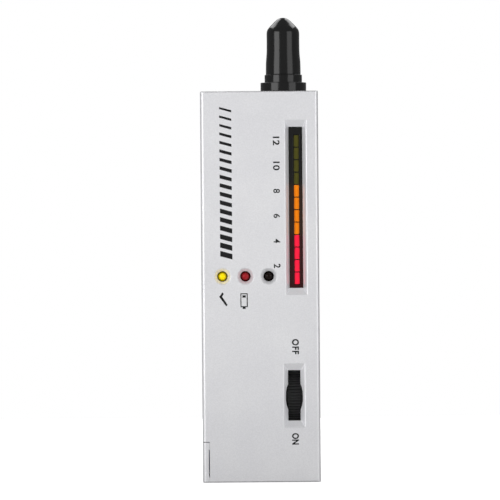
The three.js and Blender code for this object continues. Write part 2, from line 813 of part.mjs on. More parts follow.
// The shaft through the wheel, tapped for the screw, with its far end in the switch.
function wheelShaft() {
  const place = [0, wheelY, wheelHeight];
  const tappedX = [shaftLeftX - overrun, wheelScrewX + wheelScrewLength + seatGap];
  const tapped = rod('x', wheelScrewRadius + seatGap, tappedX, place, smallSides);
  return rod('x', shaftRadius, [shaftLeftX, shaftRightX], place, roundSides).subtract(tapped);
}

// The switch and potentiometer beside the wheel, with pins that reach the board's strip.
function wheelSwitch() {
  const place = [0, wheelY, wheelHeight];
  const parts = [rod('x', switchRadius, [switchLeftX, switchLeftX + switchThickness], place, largeSides)];
  const pitch = (switchThickness - switchPinWidth) / (switchPins - 1);
  const pinY = [partsY, partsY + switchPinThickness];
  for (let i = 0; i < switchPins; i++) {
    const left = switchLeftX + i * pitch;
    parts.push(block([left, left + switchPinWidth], pinY, [wheelHeight + switchRadius / 2, switchPinTopZ]));
  }
  const holeX = [switchLeftX - overrun, shaftRightX + seatGap];
  return joined(parts).subtract(rod('x', shaftRadius + seatGap, holeX, place, roundSides));
}

// A screw made along one axis from the plane under its head: the shank runs ahead, the head stands behind.
function screw(axis, [shankRadius, shankLength], [headRadius, headHeight]) {
  const rounding = headHeight / 4;
  const profile = [
    [headRadius - rounding, -headHeight],
    [headRadius, rounding - headHeight],
    [headRadius, 0],
    [shankRadius, 0],
    [shankRadius, shankLength - shankRadius],
    [shankRadius / 2, shankLength],
  ];
  const deep = [-headHeight - overrun, (crossDepthShare - 1) * headHeight];
  const width = about(0, 2 * headRadius * crossWidthShare);
  const length = about(0, 2 * headRadius * crossLengthShare);
  const arms = [[width, length], [length, width]].map(([across, up]) => {
    return axis === 'x' ? block(deep, across, up) : block(across, deep, up);
  });
  return cut(turned(axis, profile, [0, 0, 0], smallSides), arms);
}

// The board behind the display, with a strip that runs down to the wheel's switch and holes for its screws.
function mainBoard() {
  const thickness = [boardFrontY, boardBackY];
  const sheet = block([boardLeftX, boardRightX], thickness, [boardBottomZ, boardTopZ]);
  const stripX = [insideRightX - tongueEdge - tongueWidth, insideRightX - tongueEdge];
  const stripZ = [switchPinTopZ - switchPinLength / 2, boardBottomZ + boardScrewFromBottom];
  const holeSpan = [boardFrontY - overrun, boardBackY + overrun];
  const holes = boardScrewPlaces.map((place) => post(place, boardScrewRadius + runningGap, holeSpan));
  return cut(sheet.add(block(stripX, thickness, stripZ)), holes);
}

// The bar display's body, with one long slot in its face for the segments.
function barDisplay() {
  const height = [windowBottomZ - displayLap, windowTopZ + displayLap];
  const body = block(about(windowX, displayWidth), [displayFrontY, boardFrontY - seatGap], height);
  const slotX = about(segmentX, segmentWidth + 2 * segmentSideGap);
  const slotY = [displayFrontY - overrun, displayFrontY + segmentSetback + segmentDepth];
  const slotZ = [windowBottomZ + segmentBelow - seatGap, windowTopZ - segmentAbove + seatGap];
  return body.subtract(block(slotX, slotY, slotZ));
}

// One light segment about the middle of its back face.
function barSegment() {
  return block(about(0, segmentWidth), [-segmentDepth, 0], about(0, segmentPitch - segmentGap));
}

// One lamp from its dome's tip: a domed body, a flange and two leads that reach the board.
function lamp() {
  const profile = [];
  for (let i = 1; i <= domeSteps; i++) {
    const turn = ((Math.PI / 2) * i) / domeSteps;
    profile.push([lampRadius * Math.sin(turn), lampRadius * (1 - Math.cos(turn))]);
  }
  profile.push([lampRadius, lampLength]);
  profile.push([lampFlangeRadius, lampLength]);
  profile.push([lampFlangeRadius, lampLength + lampFlange]);
  const body = turned('y', [[0, 0], ...profile], [0, 0, 0], smallSides);
  const leadY = [lampLength, boardFrontY - seatGap - lampTipY];
  const leads = about(0, lampLeadSpacing).map((z) => rod('y', lampLeadRadius, leadY, [0, 0, z], wireSides));
  return joined([body, ...leads]);
}

// A chip on two rows of pins, about the middle of its foot.
function chip(pinsPerSide) {
  const length = pinsPerSide * pinPitch;
  const parts = [block(about(0, chipWidth), [chipStand, chipStand + chipHeight], about(0, length))];
  const kneeY = chipStand + chipHeight / 2;
  const outer = chipWidth / 2 + pinReach;
  const inner = outer - pinWidth / 2;
  for (let i = 0; i < pinsPerSide; i++) {
    const pinZ = about(pinPitch * i - (length - pinPitch) / 2, pinWidth);
    parts.push(block([-outer, outer], [kneeY - pinWidth / 2, kneeY], pinZ));
    parts.push(block([-outer, -inner], [0, kneeY], pinZ));
    parts.push(block([inner, outer], [0, kneeY], pinZ));
  }
  return joined(parts);
}

// The buzzer, with its sound hole facing the back.
function buzzer() {
  const body = rod('y', buzzerRadius, [0, buzzerHeight], [0, 0, 0], roundSides);
  const holeY = [buzzerHeight - buzzerHoleDepth, buzzerHeight + overrun];
  return body.subtract(rod('y', buzzerHoleRadius, holeY, [0, 0, 0], smallSides));
}

// A capacitor's can, with a groove near its foot and a rounded top.
function capacitor() {
  const profile = [
    [capacitorRadius, 0],
    [capacitorRadius, capacitorFoot - capacitorGroove],
    [capacitorRadius - capacitorGroove, capacitorFoot],
    [capacitorRadius, capacitorFoot + capacitorGroove],
    [capacitorRadius, capacitorHeight - capacitorGroove],
    [capacitorRadius - capacitorGroove, capacitorHeight],
  ];
  return turned('y', profile, [0, 0, 0], smallSides);
}

// A trimmer: a square body with a round dial and a slot across it.
function trimmer() {
  const side = about(0, trimmerSize);
  const dialTop = trimmerHeight + trimmerDialDepth;
  const dial = rod('y', trimmerDialRadius, [trimmerHeight / 2, dialTop], [0, 0, 0], smallSides);
  const slot = block(side, [trimmerHeight, dialTop + overrun], about(0, trimmerSlot));
  return block(side, [0, trimmerHeight], side).add(dial).subtract(slot);
}

// A small transistor, round with one flat side.
function transistor() {
  const body = rod('y', transistorRadius, [0, transistorHeight], [0, 0, 0], smallSides);
  const across = about(0, 2 * (transistorRadius + overrun));
  const beyond = [-transistorRadius - overrun, -transistorFlat];
  return body.subtract(block(across, [-overrun, transistorHeight + overrun], beyond));
}

// A resistor lying over the board on its two bent wires.
function resistor() {
  const axisY = resistorRadius + resistorWire;
  const waist = resistorRadius - resistorWire / 2;
  const [left, right] = about(0, resistorLength);
  const profile = [
    [resistorRadius, left],
    [resistorRadius, left + resistorRadius],
    [waist, left + resistorRadius + resistorWire],
    [waist, right - resistorRadius - resistorWire],
    [resistorRadius, right - resistorRadius],
    [resistorRadius, right],
  ];
  const parts = [turned('x', profile, [0, axisY, 0], smallSides)];
  parts.push(rod('x', resistorWire, about(0, resistorSpan), [0, axisY, 0], wireSides));
  for (const x of about(0, resistorSpan - 2 * resistorWire)) {
    parts.push(rod('y', resistorWire, [0, axisY], [x, 0, 0], wireSides));
  }
  return joined(parts);
}

// The battery: its can, a stud and a socket.
function battery() {
  const outline = roundedRectangle([batteryX, batteryY], batteryWidth, batteryDepth, batteryCornerRadius);
  const can = levelPlate(outline, [batteryBottomZ, batteryTopZ]);
  const terminalZ = [batteryTopZ - overrun, batteryTopZ + terminalHeight];
  const cupZ = [batteryTopZ, batteryTopZ + terminalHeight + overrun];
  const stud = rod('z', studRadius, terminalZ, [studX, batteryY, 0], smallSides);
  const socket = rod('z', socketRadius, terminalZ, [socketX, batteryY, 0], smallSides);
  const cup = rod('z', studRadius + runningGap, cupZ, [socketX, batteryY, 0], smallSides);
  return joined([can, stud, socket]).subtract(cup);
}

// The connector over the battery's terminals: a socket on the stud, and a stud in the socket.
function batterySnap() {
  const width = batteryWidth - 2 * snapInset;
  const depth = batteryDepth - 2 * snapInset;
  const outline = roundedRectangle([batteryX, batteryY], width, depth, batteryCornerRadius);
  const strap = levelPlate(outline, [snapBottomZ, snapTopZ]);
  const reachZ = [batteryTopZ + runningGap, snapBottomZ + snapThickness / 2];
  const boreZ = [batteryTopZ, snapBottomZ];
  const ring = rod('z', socketRadius, reachZ, [studX, batteryY, 0], smallSides);
  const stud = rod('z', studRadius, reachZ, [socketX, batteryY, 0], smallSides);
  const bore = rod('z', studRadius + runningGap, boreZ, [studX, batteryY, 0], smallSides);
  return joined([strap, ring, stud]).subtract(bore);
}

// The foam pad between the battery and the door's plate.
function batteryPad() {
  const width = about(batteryX, batteryWidth - 2 * padInset);
  const depth = about(batteryY, batteryDepth - 2 * padInset);
  return block(width, depth, [padBottomZ, padBottomZ + padThickness]);
}

// A lead from the battery's connector to the back of the board.
function batteryLead(x) {
  const start = [x, batteryY, snapTopZ + seatGap];
  const end = [x, partsY, boardBottomZ + batteryLeadRise];
  return lead(start, [0, 0, 1], end, [0, 1, 0], leadRadius);
}

// A lead from the plug behind the probe to the back of the board.
function probeLead(x) {
  const start = [x, 0, plugBottomZ - seatGap];
  const end = [x, partsY, boardTopZ - probeLeadDrop];
  return lead(start, [0, 0, -1], end, [0, 1, 0], probeLeadRadius);
}

// The touch plate in its recess.
function touchPlate() {
  const outline = roundedRectangle([0, touchZ], touchWidth, touchLength, touchCornerRadius);
  return plate(outline, [touchFloorY + seatGap, touchFloorY + seatGap + touchThickness]);
}

// The lead that runs straight from the touch plate to the board.
function touchPlateLead() {
  return rod('y', leadRadius, [partsY, touchFloorY], [touchLeadX, 0, touchZ], wireSides);
}

// Finishes: colour, roughness and metalness
function finish(color, roughness, metalness = 0) {
  return new THREE.MeshStandardMaterial({ color, roughness, metalness });
}
const silverPaint = finish(0xd8dadb, 0.45, 0.1);
const glossBlack = finish(0x1d1d1e, 0.25);
const satinBlack = finish(0x1a1a1b, 0.5);
const chipBlack = finish(0x202224, 0.6);
const yellowLens = finish(0xffe800, 0.2);
const redLens = finish(0x8a2a30, 0.2);
const darkLens = finish(0x2a1a14, 0.2);
const oliveBar = finish(0x4e4b18, 0.35);
const orangeBar = finish(0xf68e12, 0.35);
const redBar = finish(0xfa2a4b, 0.35);
const boardGreen = finish(0x1f6b3a, 0.5);
const zincSteel = finish(0xa8abad, 0.35, 1);
const nickel = finish(0xc9c6bf, 0.25, 1);
const copper = finish(0xb87848, 0.3, 1);
const ceramic = finish(0xe6e1d6, 0.6);
const blueSleeve = finish(0x2d3f6b, 0.4);
const whitePlastic = finish(0xeceae4, 0.5);
const bluePlastic = finish(0x2b5fa8, 0.45);
const tanCoat = finish(0xcdb486, 0.55);
const greyFoam = finish(0x4a4c4e, 0.95);
const redCover = finish(0xc02020, 0.45);
const blackCover = finish(0x18181a, 0.45);
const whiteCover = finish(0xe4e4e0, 0.45);

const tester = new THREE.Group();

// Adds a solid to the model as a named piece. One that was made elsewhere is turned and moved to its place.
function addPiece(name, shape, material, place = [0, 0, 0], turn = [0, 0, 0]) {
  const made = shape.getMesh();
  const geometry = new THREE.BufferGeometry();
  geometry.setAttribute('position', new THREE.BufferAttribute(made.vertProperties, 3));
  geometry.setIndex(new THREE.BufferAttribute(made.triVerts, 1));
  geometry.computeVertexNormals();
  const mesh = new THREE.Mesh(geometry, material);
  mesh.name = name;
  mesh.position.set(...place);
  mesh.rotation.set(...turn);
  tester.add(mesh);
}

// Case and door
addPiece('front_shell', frontShell(), silverPaint);
addPiece('rear_shell', rearShell(), silverPaint);
addPiece('battery_door', batteryDoor(), silverPaint);
addPiece('touch_plate', touchPlate(), nickel);
addPiece('touch_plate_lead', touchPlateLead(), whiteCover);

// Probe and cap
addPiece('probe_collar', probeCollar(), glossBlack, [probeX, 0, 0]);
addPiece('probe_cap', probeCap(), glossBlack, [probeX, 0, spigotZ + capSeat]);
addPiece('probe_sleeve', probeSleeve(), nickel, [probeX, 0, 0]);
addPiece('probe_end_plug', probeEndPlug(), whitePlastic, [probeX, 0, 0]);
addPiece('probe_tip', probeTip(), copper, [probeX, 0, 0]);
addPiece('probe_heater', probeHeater(), ceramic, [probeX, 0, 0]);
addPiece('probe_spring', probeSpring(), zincSteel, [probeX, 0, 0]);
about(probeX, probeLeadSpacing).forEach((x, i) => addPiece(`probe_lead_${i + 1}`, probeLead(x), whiteCover));

// Thumbwheel and switch
const wheelScrewHeadSize = [wheelScrewHeadRadius, wheelScrewHeadHeight];
const wheelScrew = screw('x', [wheelScrewRadius, wheelScrewLength], wheelScrewHeadSize);
addPiece('thumbwheel', thumbwheel(), satinBlack, [wheelX, wheelY, wheelHeight]);
addPiece('wheel_shaft', wheelShaft(), nickel);
addPiece('wheel_screw', wheelScrew, zincSteel, [wheelScrewX, wheelY, wheelHeight]);
addPiece('wheel_switch', wheelSwitch(), chipBlack);

// Bar display, numbered from the top: a third of the segments in each colour
addPiece('bar_display_housing', barDisplay(), satinBlack);
const barFinishes = [redBar, orangeBar, oliveBar];
for (let i = 0; i < segmentCount; i++) {
  const z = windowBottomZ + segmentBelow + (i + 1 / 2) * segmentPitch;
  const number = String(segmentCount - i).padStart(2, '0');
  const material = barFinishes[Math.floor((i * barFinishes.length) / segmentCount)];
  const place = [segmentX, displayFrontY + segmentSetback + segmentDepth, z];
  addPiece(`bar_segment_${number}`, barSegment(), material, place);
}

// Lamps
const lampNames = ['ready_led', 'low_battery_led', 'metal_alert_led'];
const lampFinishes = [yellowLens, redLens, darkLens];
lampNames.forEach((name, i) => addPiece(name, lamp(), lampFinishes[i], [lampXs[i], lampTipY, lampZ]));

// Circuit
addPiece('main_board', mainBoard(), boardGreen);
addPiece('driver_chip', chip(driverPins), chipBlack, [chipX, partsY, driverZ]);
addPiece('op_amp_chip', chip(opAmpPins), chipBlack, [chipX, partsY, opAmpZ]);
addPiece('buzzer', buzzer(), satinBlack, [buzzerX, partsY, buzzerZ]);
addPiece('transistor', transistor(), chipBlack, [trimmerX, partsY, transistorZ]);
capacitorZs.forEach((z, i) => {
  addPiece(`capacitor_${i + 1}`, capacitor(), blueSleeve, [capacitorX, partsY, z]);
});
trimmerZs.forEach((z, i) => {
  addPiece(`trimmer_${i + 1}`, trimmer(), bluePlastic, [trimmerX, partsY, z]);
});
for (let i = 0; i < resistorCount; i++) {
  addPiece(`resistor_${i + 1}`, resistor(), tanCoat, [resistorX, partsY, resistorTopZ - i * resistorPitch]);
}

// Battery
addPiece('battery', battery(), blueSleeve);
addPiece('battery_snap', batterySnap(), blackCover);
addPiece('battery_pad', batteryPad(), greyFoam);
addPiece('red_lead', batteryLead(studX), redCover);
addPiece('black_lead', batteryLead(batteryX), blackCover);

// The screws of the case and of the board, which go in from the back
const fromBack = [Math.PI, 0, 0];
const caseScrew = screw('y', [caseScrewRadius, caseScrewLength], [caseScrewHeadRadius, caseScrewHead]);
caseScrewPlaces.forEach(([x, z], i) => {
  addPiece(`case_screw_${i + 1}`, caseScrew, zincSteel, [x, headSeatY + seatGap, z], fromBack);
});
const boardScrew = screw('y', [boardScrewRadius, boardScrewLength], [boardScrewHeadRadius, boardScrewHead]);
boardScrewPlaces.forEach(([x, z], i) => {
  addPiece(`board_screw_${i + 1}`, boardScrew, zincSteel, [x, partsY, z], fromBack);
});

export default tester;
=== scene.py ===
"""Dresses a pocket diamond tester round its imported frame: the silver case and its openings, the lit bar, the
lamps, the thumbwheel, the probe under its cap, the battery door, the back, the insides and the stage."""
import json
import math

import bmesh
import bpy
from bpy.props import FloatProperty, FloatVectorProperty, IntProperty, PointerProperty
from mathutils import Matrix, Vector

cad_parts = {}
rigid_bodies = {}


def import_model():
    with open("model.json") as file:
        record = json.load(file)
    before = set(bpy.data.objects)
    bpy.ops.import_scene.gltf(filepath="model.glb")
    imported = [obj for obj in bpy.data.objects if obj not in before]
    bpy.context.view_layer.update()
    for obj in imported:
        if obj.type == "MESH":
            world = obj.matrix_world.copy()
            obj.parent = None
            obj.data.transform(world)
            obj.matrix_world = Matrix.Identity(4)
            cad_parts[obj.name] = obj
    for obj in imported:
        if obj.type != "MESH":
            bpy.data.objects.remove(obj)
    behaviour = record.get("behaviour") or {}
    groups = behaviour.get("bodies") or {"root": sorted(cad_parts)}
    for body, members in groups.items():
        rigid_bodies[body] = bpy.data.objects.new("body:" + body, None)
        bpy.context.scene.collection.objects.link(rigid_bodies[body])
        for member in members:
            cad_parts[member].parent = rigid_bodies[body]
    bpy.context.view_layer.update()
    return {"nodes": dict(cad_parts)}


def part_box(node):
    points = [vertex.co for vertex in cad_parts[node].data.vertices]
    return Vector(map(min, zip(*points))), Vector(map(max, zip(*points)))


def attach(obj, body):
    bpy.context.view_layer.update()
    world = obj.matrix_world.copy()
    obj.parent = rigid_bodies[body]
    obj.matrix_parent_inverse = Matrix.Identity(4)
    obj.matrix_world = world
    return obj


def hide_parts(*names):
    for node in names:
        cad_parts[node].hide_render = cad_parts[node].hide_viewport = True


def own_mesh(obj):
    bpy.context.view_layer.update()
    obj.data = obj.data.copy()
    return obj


bl_info = {
    "name": "Diamond tester",
    "version": (1, 0, 0),
    "blender": (4, 5, 0),
    "location": "3D View > Sidebar > Tester",
    "description": "Makes the visible pieces of a pocket diamond tester and its stage",
    "category": "Object",
}

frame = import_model()

MM = 0.001
OVERRUN = 1 * MM  # how far a cut runs past the face that it opens
SAME_POINT = MM / 10000  # points that lie closer than this are one
ROUND = 72  # sides of a large turned piece
SMALL_ROUND = 40  # sides of a small one
LEG_SIDES = 8  # sides of a lamp's leg
WHEEL_SIDES = 112  # sides of the thumbwheel's rim
COIL_STEPS = 24  # steps in a turn of the spring
WIRE_SIDES = 10  # sides of its wire
EDGE_STEPS = 6  # across a large rounding
RIM_STEPS = 4  # across a small one
BEVEL_STEPS = 2  # across a softened edge
CORNER_STEPS = 3  # round a corner of a sloped opening
PLATE_STEPS = 10  # round a corner of the touch plate
DOME_STEPS = 10  # up a lamp's dome
POINT_STEPS = 8  # up the tip's point
CURVE_STEPS = 5  # between two points of a smooth curve
SHARP = math.radians(38)  # edges that turn further than this stay crisp

LAMPS = ("ready_led", "low_battery_led", "metal_alert_led")
BAR_SEGMENTS = 12
GROUP_SEGMENTS = 4  # of one colour
CASE_SCREWS = 3
BOARD_SCREWS = 2
RESISTORS = 4


# Sizes and colours


def length(name, description, millimetres):
    """A length that a user can change, kept in metres."""
    default = millimetres * MM
    return FloatProperty(name=name, description=description, default=default, unit="LENGTH", precision=5)


def angle(name, description, degrees):
    """An angle that a user can change, kept in radians."""
    return FloatProperty(name=name, description=description, default=math.radians(degrees), subtype="ANGLE")


def fraction(name, description, value):
    """A share between nothing and one that a user can change."""
    return FloatProperty(
        name=name, description=description, default=value, min=0, max=1, subtype="FACTOR"
    )


def number(name, description, value, least=1):
    """A count that a user can change."""
    return IntProperty(name=name, description=description, default=value, min=least)


def linear(hex_text):
    """The linear colour of an sRGB hex value."""
    channels = [int(hex_text[i : i + 2], 16) / 255 for i in (0, 2, 4)]
    return tuple(c / 12.92 if c <= 0.04045 else ((c + 0.055) / 1.055) ** 2.4 for c in channels)


def tint(name, description, hex_text):
    """A colour that a user can change."""
    return FloatVectorProperty(
        name=name, description=description, default=linear(hex_text), subtype="COLOR", min=0, max=1
    )


class CaseSizes(bpy.types.PropertyGroup):
    """Sizes of the moulded case that its outer boxes don't give"""

    edge_radius: length("Edge radius", "Rounding of the front and back edges", 1.2)
    end_radius: length("End edge radius", "How high that rounding reaches at the top and at the base", 0.5)
    corner_radius: length("Corner radius", "Rounding of the four corners in the front view", 0.3)
    front_wall: length("Front wall", "Thickness of the front wall", 2.2)
    rear_wall: length("Rear wall", "Thickness of the rear wall", 2.0)
    side_wall: length("Side wall", "Thickness of the side walls", 1.5)
    end_wall: length("End wall", "Thickness of the top and bottom walls", 2.0)
    groove: length("Parting groove", "Width and depth of the groove where the shells meet", 0.3)
    groove_chamfer: length("Groove chamfer", "Softened edges of the parting groove", 0.12)
    ink: length("Ink", "Thickness of the printed marks on the face", 0.015)
    slope_depth: length("Slope depth", "Depth of the sloped edges of the window and the wheel's slot", 1.8)
    window_width: length("Window width", "Inner width of the bar's window", 4.55)
    window_lap: length("Window lap", "How far the bar's body laps the window's ends", 0.5)
    window_side: length("Window side slope", "Width of the window's long slopes", 1.225)
    window_end: length("Window end slope", "Width of the window's short slopes", 2.3)
    side_rim: length("Side rim", "Where the rounding of the long slopes starts outside them", 0.3)
    end_rim: length("End rim", "Where the rounding of the short slopes starts outside them", 0.12)
    rim_depth: length("Rim depth", "Depth of that rounding", 0.28)
    opening_corner: length("Opening corner", "Rounding of the corners of the window and the slot", 0.12)
    slot_width: length("Slot width", "Inner width of the slot over the wheel", 4.1)
    slot_length: length("Slot length", "Inner length of the slot over the wheel", 16.7)
    slot_rise: length("Slot rise", "How far the slot's middle lies above the wheel's axis", 0.45)
    slot_side: length("Slot side slope", "Width of the slot's long slopes", 1.45)
    slot_end: length("Slot end slope", "Width of the slot's short slopes", 2.3)
    wheel_gap: length("Wheel gap", "Room between the wheel and the case", 0.3)
    lamp_hole: length("Lamp hole", "Radius of a lamp's hole", 1.7)
    lamp_cone: length("Lamp cone", "Radius of a lamp's countersink at the face", 2.8)
    lamp_cone_depth: length("Lamp cone depth", "Depth of a lamp's countersink", 1.6)
    lamp_rim: length("Lamp rim", "Rounding of that countersink's edges", 0.18)
    collar_gap: length("Collar gap", "Room round the probe collar's neck", 0.1)
    neck_radius: length("Neck radius", "Radius of the probe collar in the top wall", 4.8)
    seat_gap: length("Seat gap", "Room between pieces that seat on each other", 0.1)
    rib: length("Rib", "Thickness of the ribs beside the battery", 1.2)
    boss_radius: length("Boss radius", "Radius of the screw posts inside", 2.6)
    screw_hole: length("Screw hole", "Radius of the case screws' recesses", 2.4)
    screw_seat: length("Screw seat", "From the top of a case screw down to its seat", 1.8)
    recess_wall: length("Recess wall", "Wall round a case screw's recess", 1.0)
    recess_floor: length("Recess floor", "Thickness of the seat under a case screw's head", 2.0)
    sound_hole: length("Sound hole", "Radius of each hole over the buzzer", 0.6)
    sound_ring: length("Sound ring", "Radius of the ring of sound holes", 2.4)
    sound_holes: number("Sound holes", "Holes in the ring over the buzzer", 6)
    plate_corner: length("Plate corner", "Corner radius of the touch plate", 2.0)
    plate_edge: length("Plate edge", "Rounding of the touch plate's edge", 0.2)
    soft_edge: length("Soft edge", "Softened edges of the rear shell", 0.08)


class DoorSizes(bpy.types.PropertyGroup):
    """Sizes of the battery door"""

    strip: length("Strip", "Width of the door's corner on the face", 2.3)
    height: length("Height", "Height of the door's corner above the base", 13.5)
    seam: length("Seam", "Gap above the closed door", 0.22)
    side_seam: length("Side seam", "Gap beside the closed door", 0.05)
    nail_gap: length("Nail gap", "Width of the slot for a fingernail", 0.25)
    nail_bottom: length("Nail gap bottom", "Lower end of that slot above the base", 1.8)
    nail_top: length("Nail gap top", "Upper end of that slot below the door's top", 2.6)
    ledge_width: length("Ledge width", "Width of the ledges that the door runs on", 1.2)
    ledge_height: length("Ledge height", "Height of those ledges", 1.0)
    flange: length("Flange", "Thickness of the door's edges over the ledges", 0.9)
    running_gap: length("Running gap", "Room between the door and its ledges", 0.3)
    soft_edge: length("Soft edge", "Softened edges of the door", 0.06)


class LightSizes(bpy.types.PropertyGroup):
    """Sizes of the lamps and of the bar display"""

    lamp_radius: length("Lamp radius", "Radius of a lamp's dome", 1.6)
    flange_radius: length("Flange radius", "Radius of a lamp's flange", 1.9)
    flange_place: length("Flange place", "From the dome's top down to the flange", 4.0)
    lamp_length: length("Lamp length", "From the dome's top to the lamp's base", 5.0)
    lamp_edge: length("Lamp edge", "Rounding where the dome meets the flange", 0.15)
    leg_radius: length("Leg radius", "Radius of a lamp's leg", 0.3)
    leg_pitch: length("Leg pitch", "Distance between a lamp's legs", 2.54)
    leg_lap: length("Leg lap", "How far a leg reaches into its lamp", 0.5)
    segment_gap: length("Segment gap", "Room round the segments in the bar's body", 0.2)
    segment_edge: length("Segment edge", "Rounding of a segment's front edge", 0.12)
    segment_corner: length("Segment corner", "Corner radius of a segment", 0.2)
    soft_edge: length("Soft edge", "Softened edges of the bar's body", 0.08)


class ProbeSizes(bpy.types.PropertyGroup):
    """Sizes of the probe, its collar and its cap"""

    spigot_radius: length("Spigot radius", "Radius of the collar's spigot in the cap", 4.1)
    step_radius: length("Step radius", "Radius of the collar's upper step", 6.225)
    flange_height: length("Flange height", "Height of the collar's lower step above the case", 3.0)
    step_height: length("Step height", "Height of the collar's upper step", 2.6)
    collar_bore: length("Collar bore", "Radius of the bore through the collar", 2.2)
    barrel_radius: length("Barrel radius", "Radius of the collar's barrel inside the case", 3.6)
    inner_radius: length("Inner flange radius", "Radius of the collar's flange inside the case", 6.0)
    inner_height: length("Inner flange height", "Height of the collar's flange inside the case", 2.1)
    collar_edge: length("Collar edge", "Rounding of the collar's edges", 0.15)
    cap_bore: length("Cap bore", "Radius of the cap's bore over the probe", 3.3)
    cap_crown: length("Cap crown", "Plastic from the top of the cap's bore to its point", 3.35)
    cap_gap: length("Cap gap", "Room between the cap and the collar's spigot", 0.1)
    cap_top_gap: length("Cap top gap", "Room above that spigot in the cap", 0.3)
    cap_edge: length("Cap edge", "Chamfer of the cap's lower edge", 0.1)
    cap_mouth: length("Cap mouth", "Chamfer of the cap's mouth", 0.2)
    sleeve_bore: length("Sleeve bore", "Radius of the sleeve's bore round the spring", 1.0)
    sleeve_edge: length("Sleeve edge", "Rounding of the sleeve's edges", 0.1)
    nose_bore: length("Nose bore", "Radius of the bore through the sleeve's narrow end", 0.75)
    nose_radius: length("Nose radius", "Radius of the sleeve's narrow end", 1.4)
    nose_length: length("Nose length", "Length of the sleeve's narrow end", 1.0)
    tip_radius: length("Tip radius", "Radius of the probe's tip", 0.65)
    tip_point: length("Tip point", "Height of the tip's rounded point", 0.5)
    tip_shoulder: length("Tip shoulder", "Height of the shoulder that keeps the tip in", 1.1)
    tip_travel: length("Tip travel", "How far the tip presses in", 1.5)
    spring_wire: length("Spring wire", "Thickness of the spring's wire", 0.22)
    spring_turns: FloatProperty(name="Spring turns", description="Turns of the spring", default=7, min=1)


class WheelSizes(bpy.types.PropertyGroup):
    """Sizes of the thumbwheel"""

    teeth: number("Teeth", "Ridges round the thumbwheel", 56, 3)
    tooth_height: length("Tooth height", "Height of a ridge above the rim", 0.32)
    tooth_width: length("Tooth width", "Width of a ridge at the rim", 0.7)
    edge: length("Edge", "Rounding of the rim's edges", 0.5)
    bore: length("Bore", "Radius of the wheel's bore", 2.1)


class ScrewShares(bpy.types.PropertyGroup):
    """Shapes of the screws, as shares of their heads"""

    rise: fraction("Rise", "Height of the head as a share of its radius", 0.72)
    shank: fraction("Shank", "Radius of the shank as a share of the head's", 0.5)
    end: fraction("End", "Radius of the shank's end as a share of the shank's", 0.5)
    crown: fraction("Crown", "Height of the head's rounded part as a share of the head's", 0.45)
    flat: fraction("Flat", "Radius of the head's flat top as a share of the head's", 0.72)
    cross_depth: fraction("Cross depth", "Depth of the cross as a share of the head's height", 0.6)
    cross_length: fraction("Cross length", "Reach of the cross as a share of the head's radius", 0.62)
    cross_width: fraction("Cross width", "Half width of the cross as a share of the head's radius", 0.2)


class MarkSizes(bpy.types.PropertyGroup):
    """Sizes and places of the printed marks"""

    word_height: length("Word height", "Height of the words at the wheel", 2.3)
    off_top: length("OFF top", "Height at which OFF starts", 47.3)
    off_end: length("OFF end", "Height at which OFF ends", 42.3)
    off_shift: length("OFF shift", "How far OFF lies right of the wheel's middle", 0.5)
    on_top: length("ON top", "Height at which ON starts", 16.2)
    on_end: length("ON end", "Height at which ON ends", 12.4)
    on_shift: length("ON shift", "How far ON lies right of the wheel's middle", 0.25)
    number_height: length("Number height", "Height of the numbers beside the bar", 2.2)
    number_shift: length("Number shift", "From the bar left to the middle of its numbers", 2.55)
    one_digit: length("One digit", "Half the length of a number with one digit", 0.7)
    two_digits: length("Two digits", "Half the length of a number with two digits", 1.45)
    sign_drop: length("Sign drop", "From a lamp's middle down to its sign", 5.6)
    tick_shift: length("Tick shift", "From a lamp's middle left to the tick", 1.1)
    tick_along: length("Tick along", "What the tick's outline counts in downwards", 1.15)
    tick_across: length("Tick across", "What the tick's outline counts in sideways", 0.8625)
    battery_shift: length("Battery shift", "From a lamp's middle left to the battery sign", 1.7)
    battery_width: length("Battery width", "Width of the battery sign", 2.4)
    battery_height: length("Battery height", "Height of the battery sign without its terminal", 4.6)
    battery_line: length("Battery line", "Thickness of the battery sign's outline", 0.32)
    terminal: length("Terminal", "Height of the terminal on the battery sign", 0.6)
    terminal_inset: length("Terminal inset", "From the sign's sides to its terminal", 0.72)
    charge: length("Charge", "Height of the bar that is left in the battery sign", 0.8)
    scale_left: length("Scale left", "From the case's left side to the scale", 6.3)
    scale_drop: length("Scale drop", "From the case's top to the scale", 5.2)
    scale_width: length("Scale width", "Width of the scale's bars", 4.0)
    scale_pitch: length("Scale pitch", "Distance between the scale's bars", 2.8)
    scale_slant: length("Scale slant", "How far each bar falls to the right", 1.1)
    thin_bar: length("Thin bar", "Thickness of the scale's top bar", 0.7)
    bar_growth: length("Bar growth", "How much thicker its lowest bar is", 1.1)
    scale_bars: number("Scale bars", "Bars of the scale", 18, 2)


class StageSizes(bpy.types.PropertyGroup):
    """The framing of the picture and the main lamp"""

    frame_width: length("Frame width", "What the picture spans at the case's face", 165.4)
    camera_distance: length("Camera distance", "From the case's face to the camera", 1600)
    camera_side: length("Camera side", "How far the camera stands right of the case's middle", -3.35)
    camera_height: length("Camera height", "Height of the camera", 76.9)
    camera_lean: angle("Camera lean", "How far the camera leans to one side", 0.47)
    floor_half: length("Floor", "Half the length of the floor's sides", 600)
    floor_drop: length("Floor drop", "How far the floor lies below the case", 0.05)
    key_beam: angle("Key beam", "Full angle of the main lamp's beam", 19.5)
    key_power: FloatProperty(
        name="Key power", description="Power of the main lamp", default=97, unit="POWER"
    )
    key_radius: length("Key radius", "Radius of the main lamp, which softens its shadows", 50)


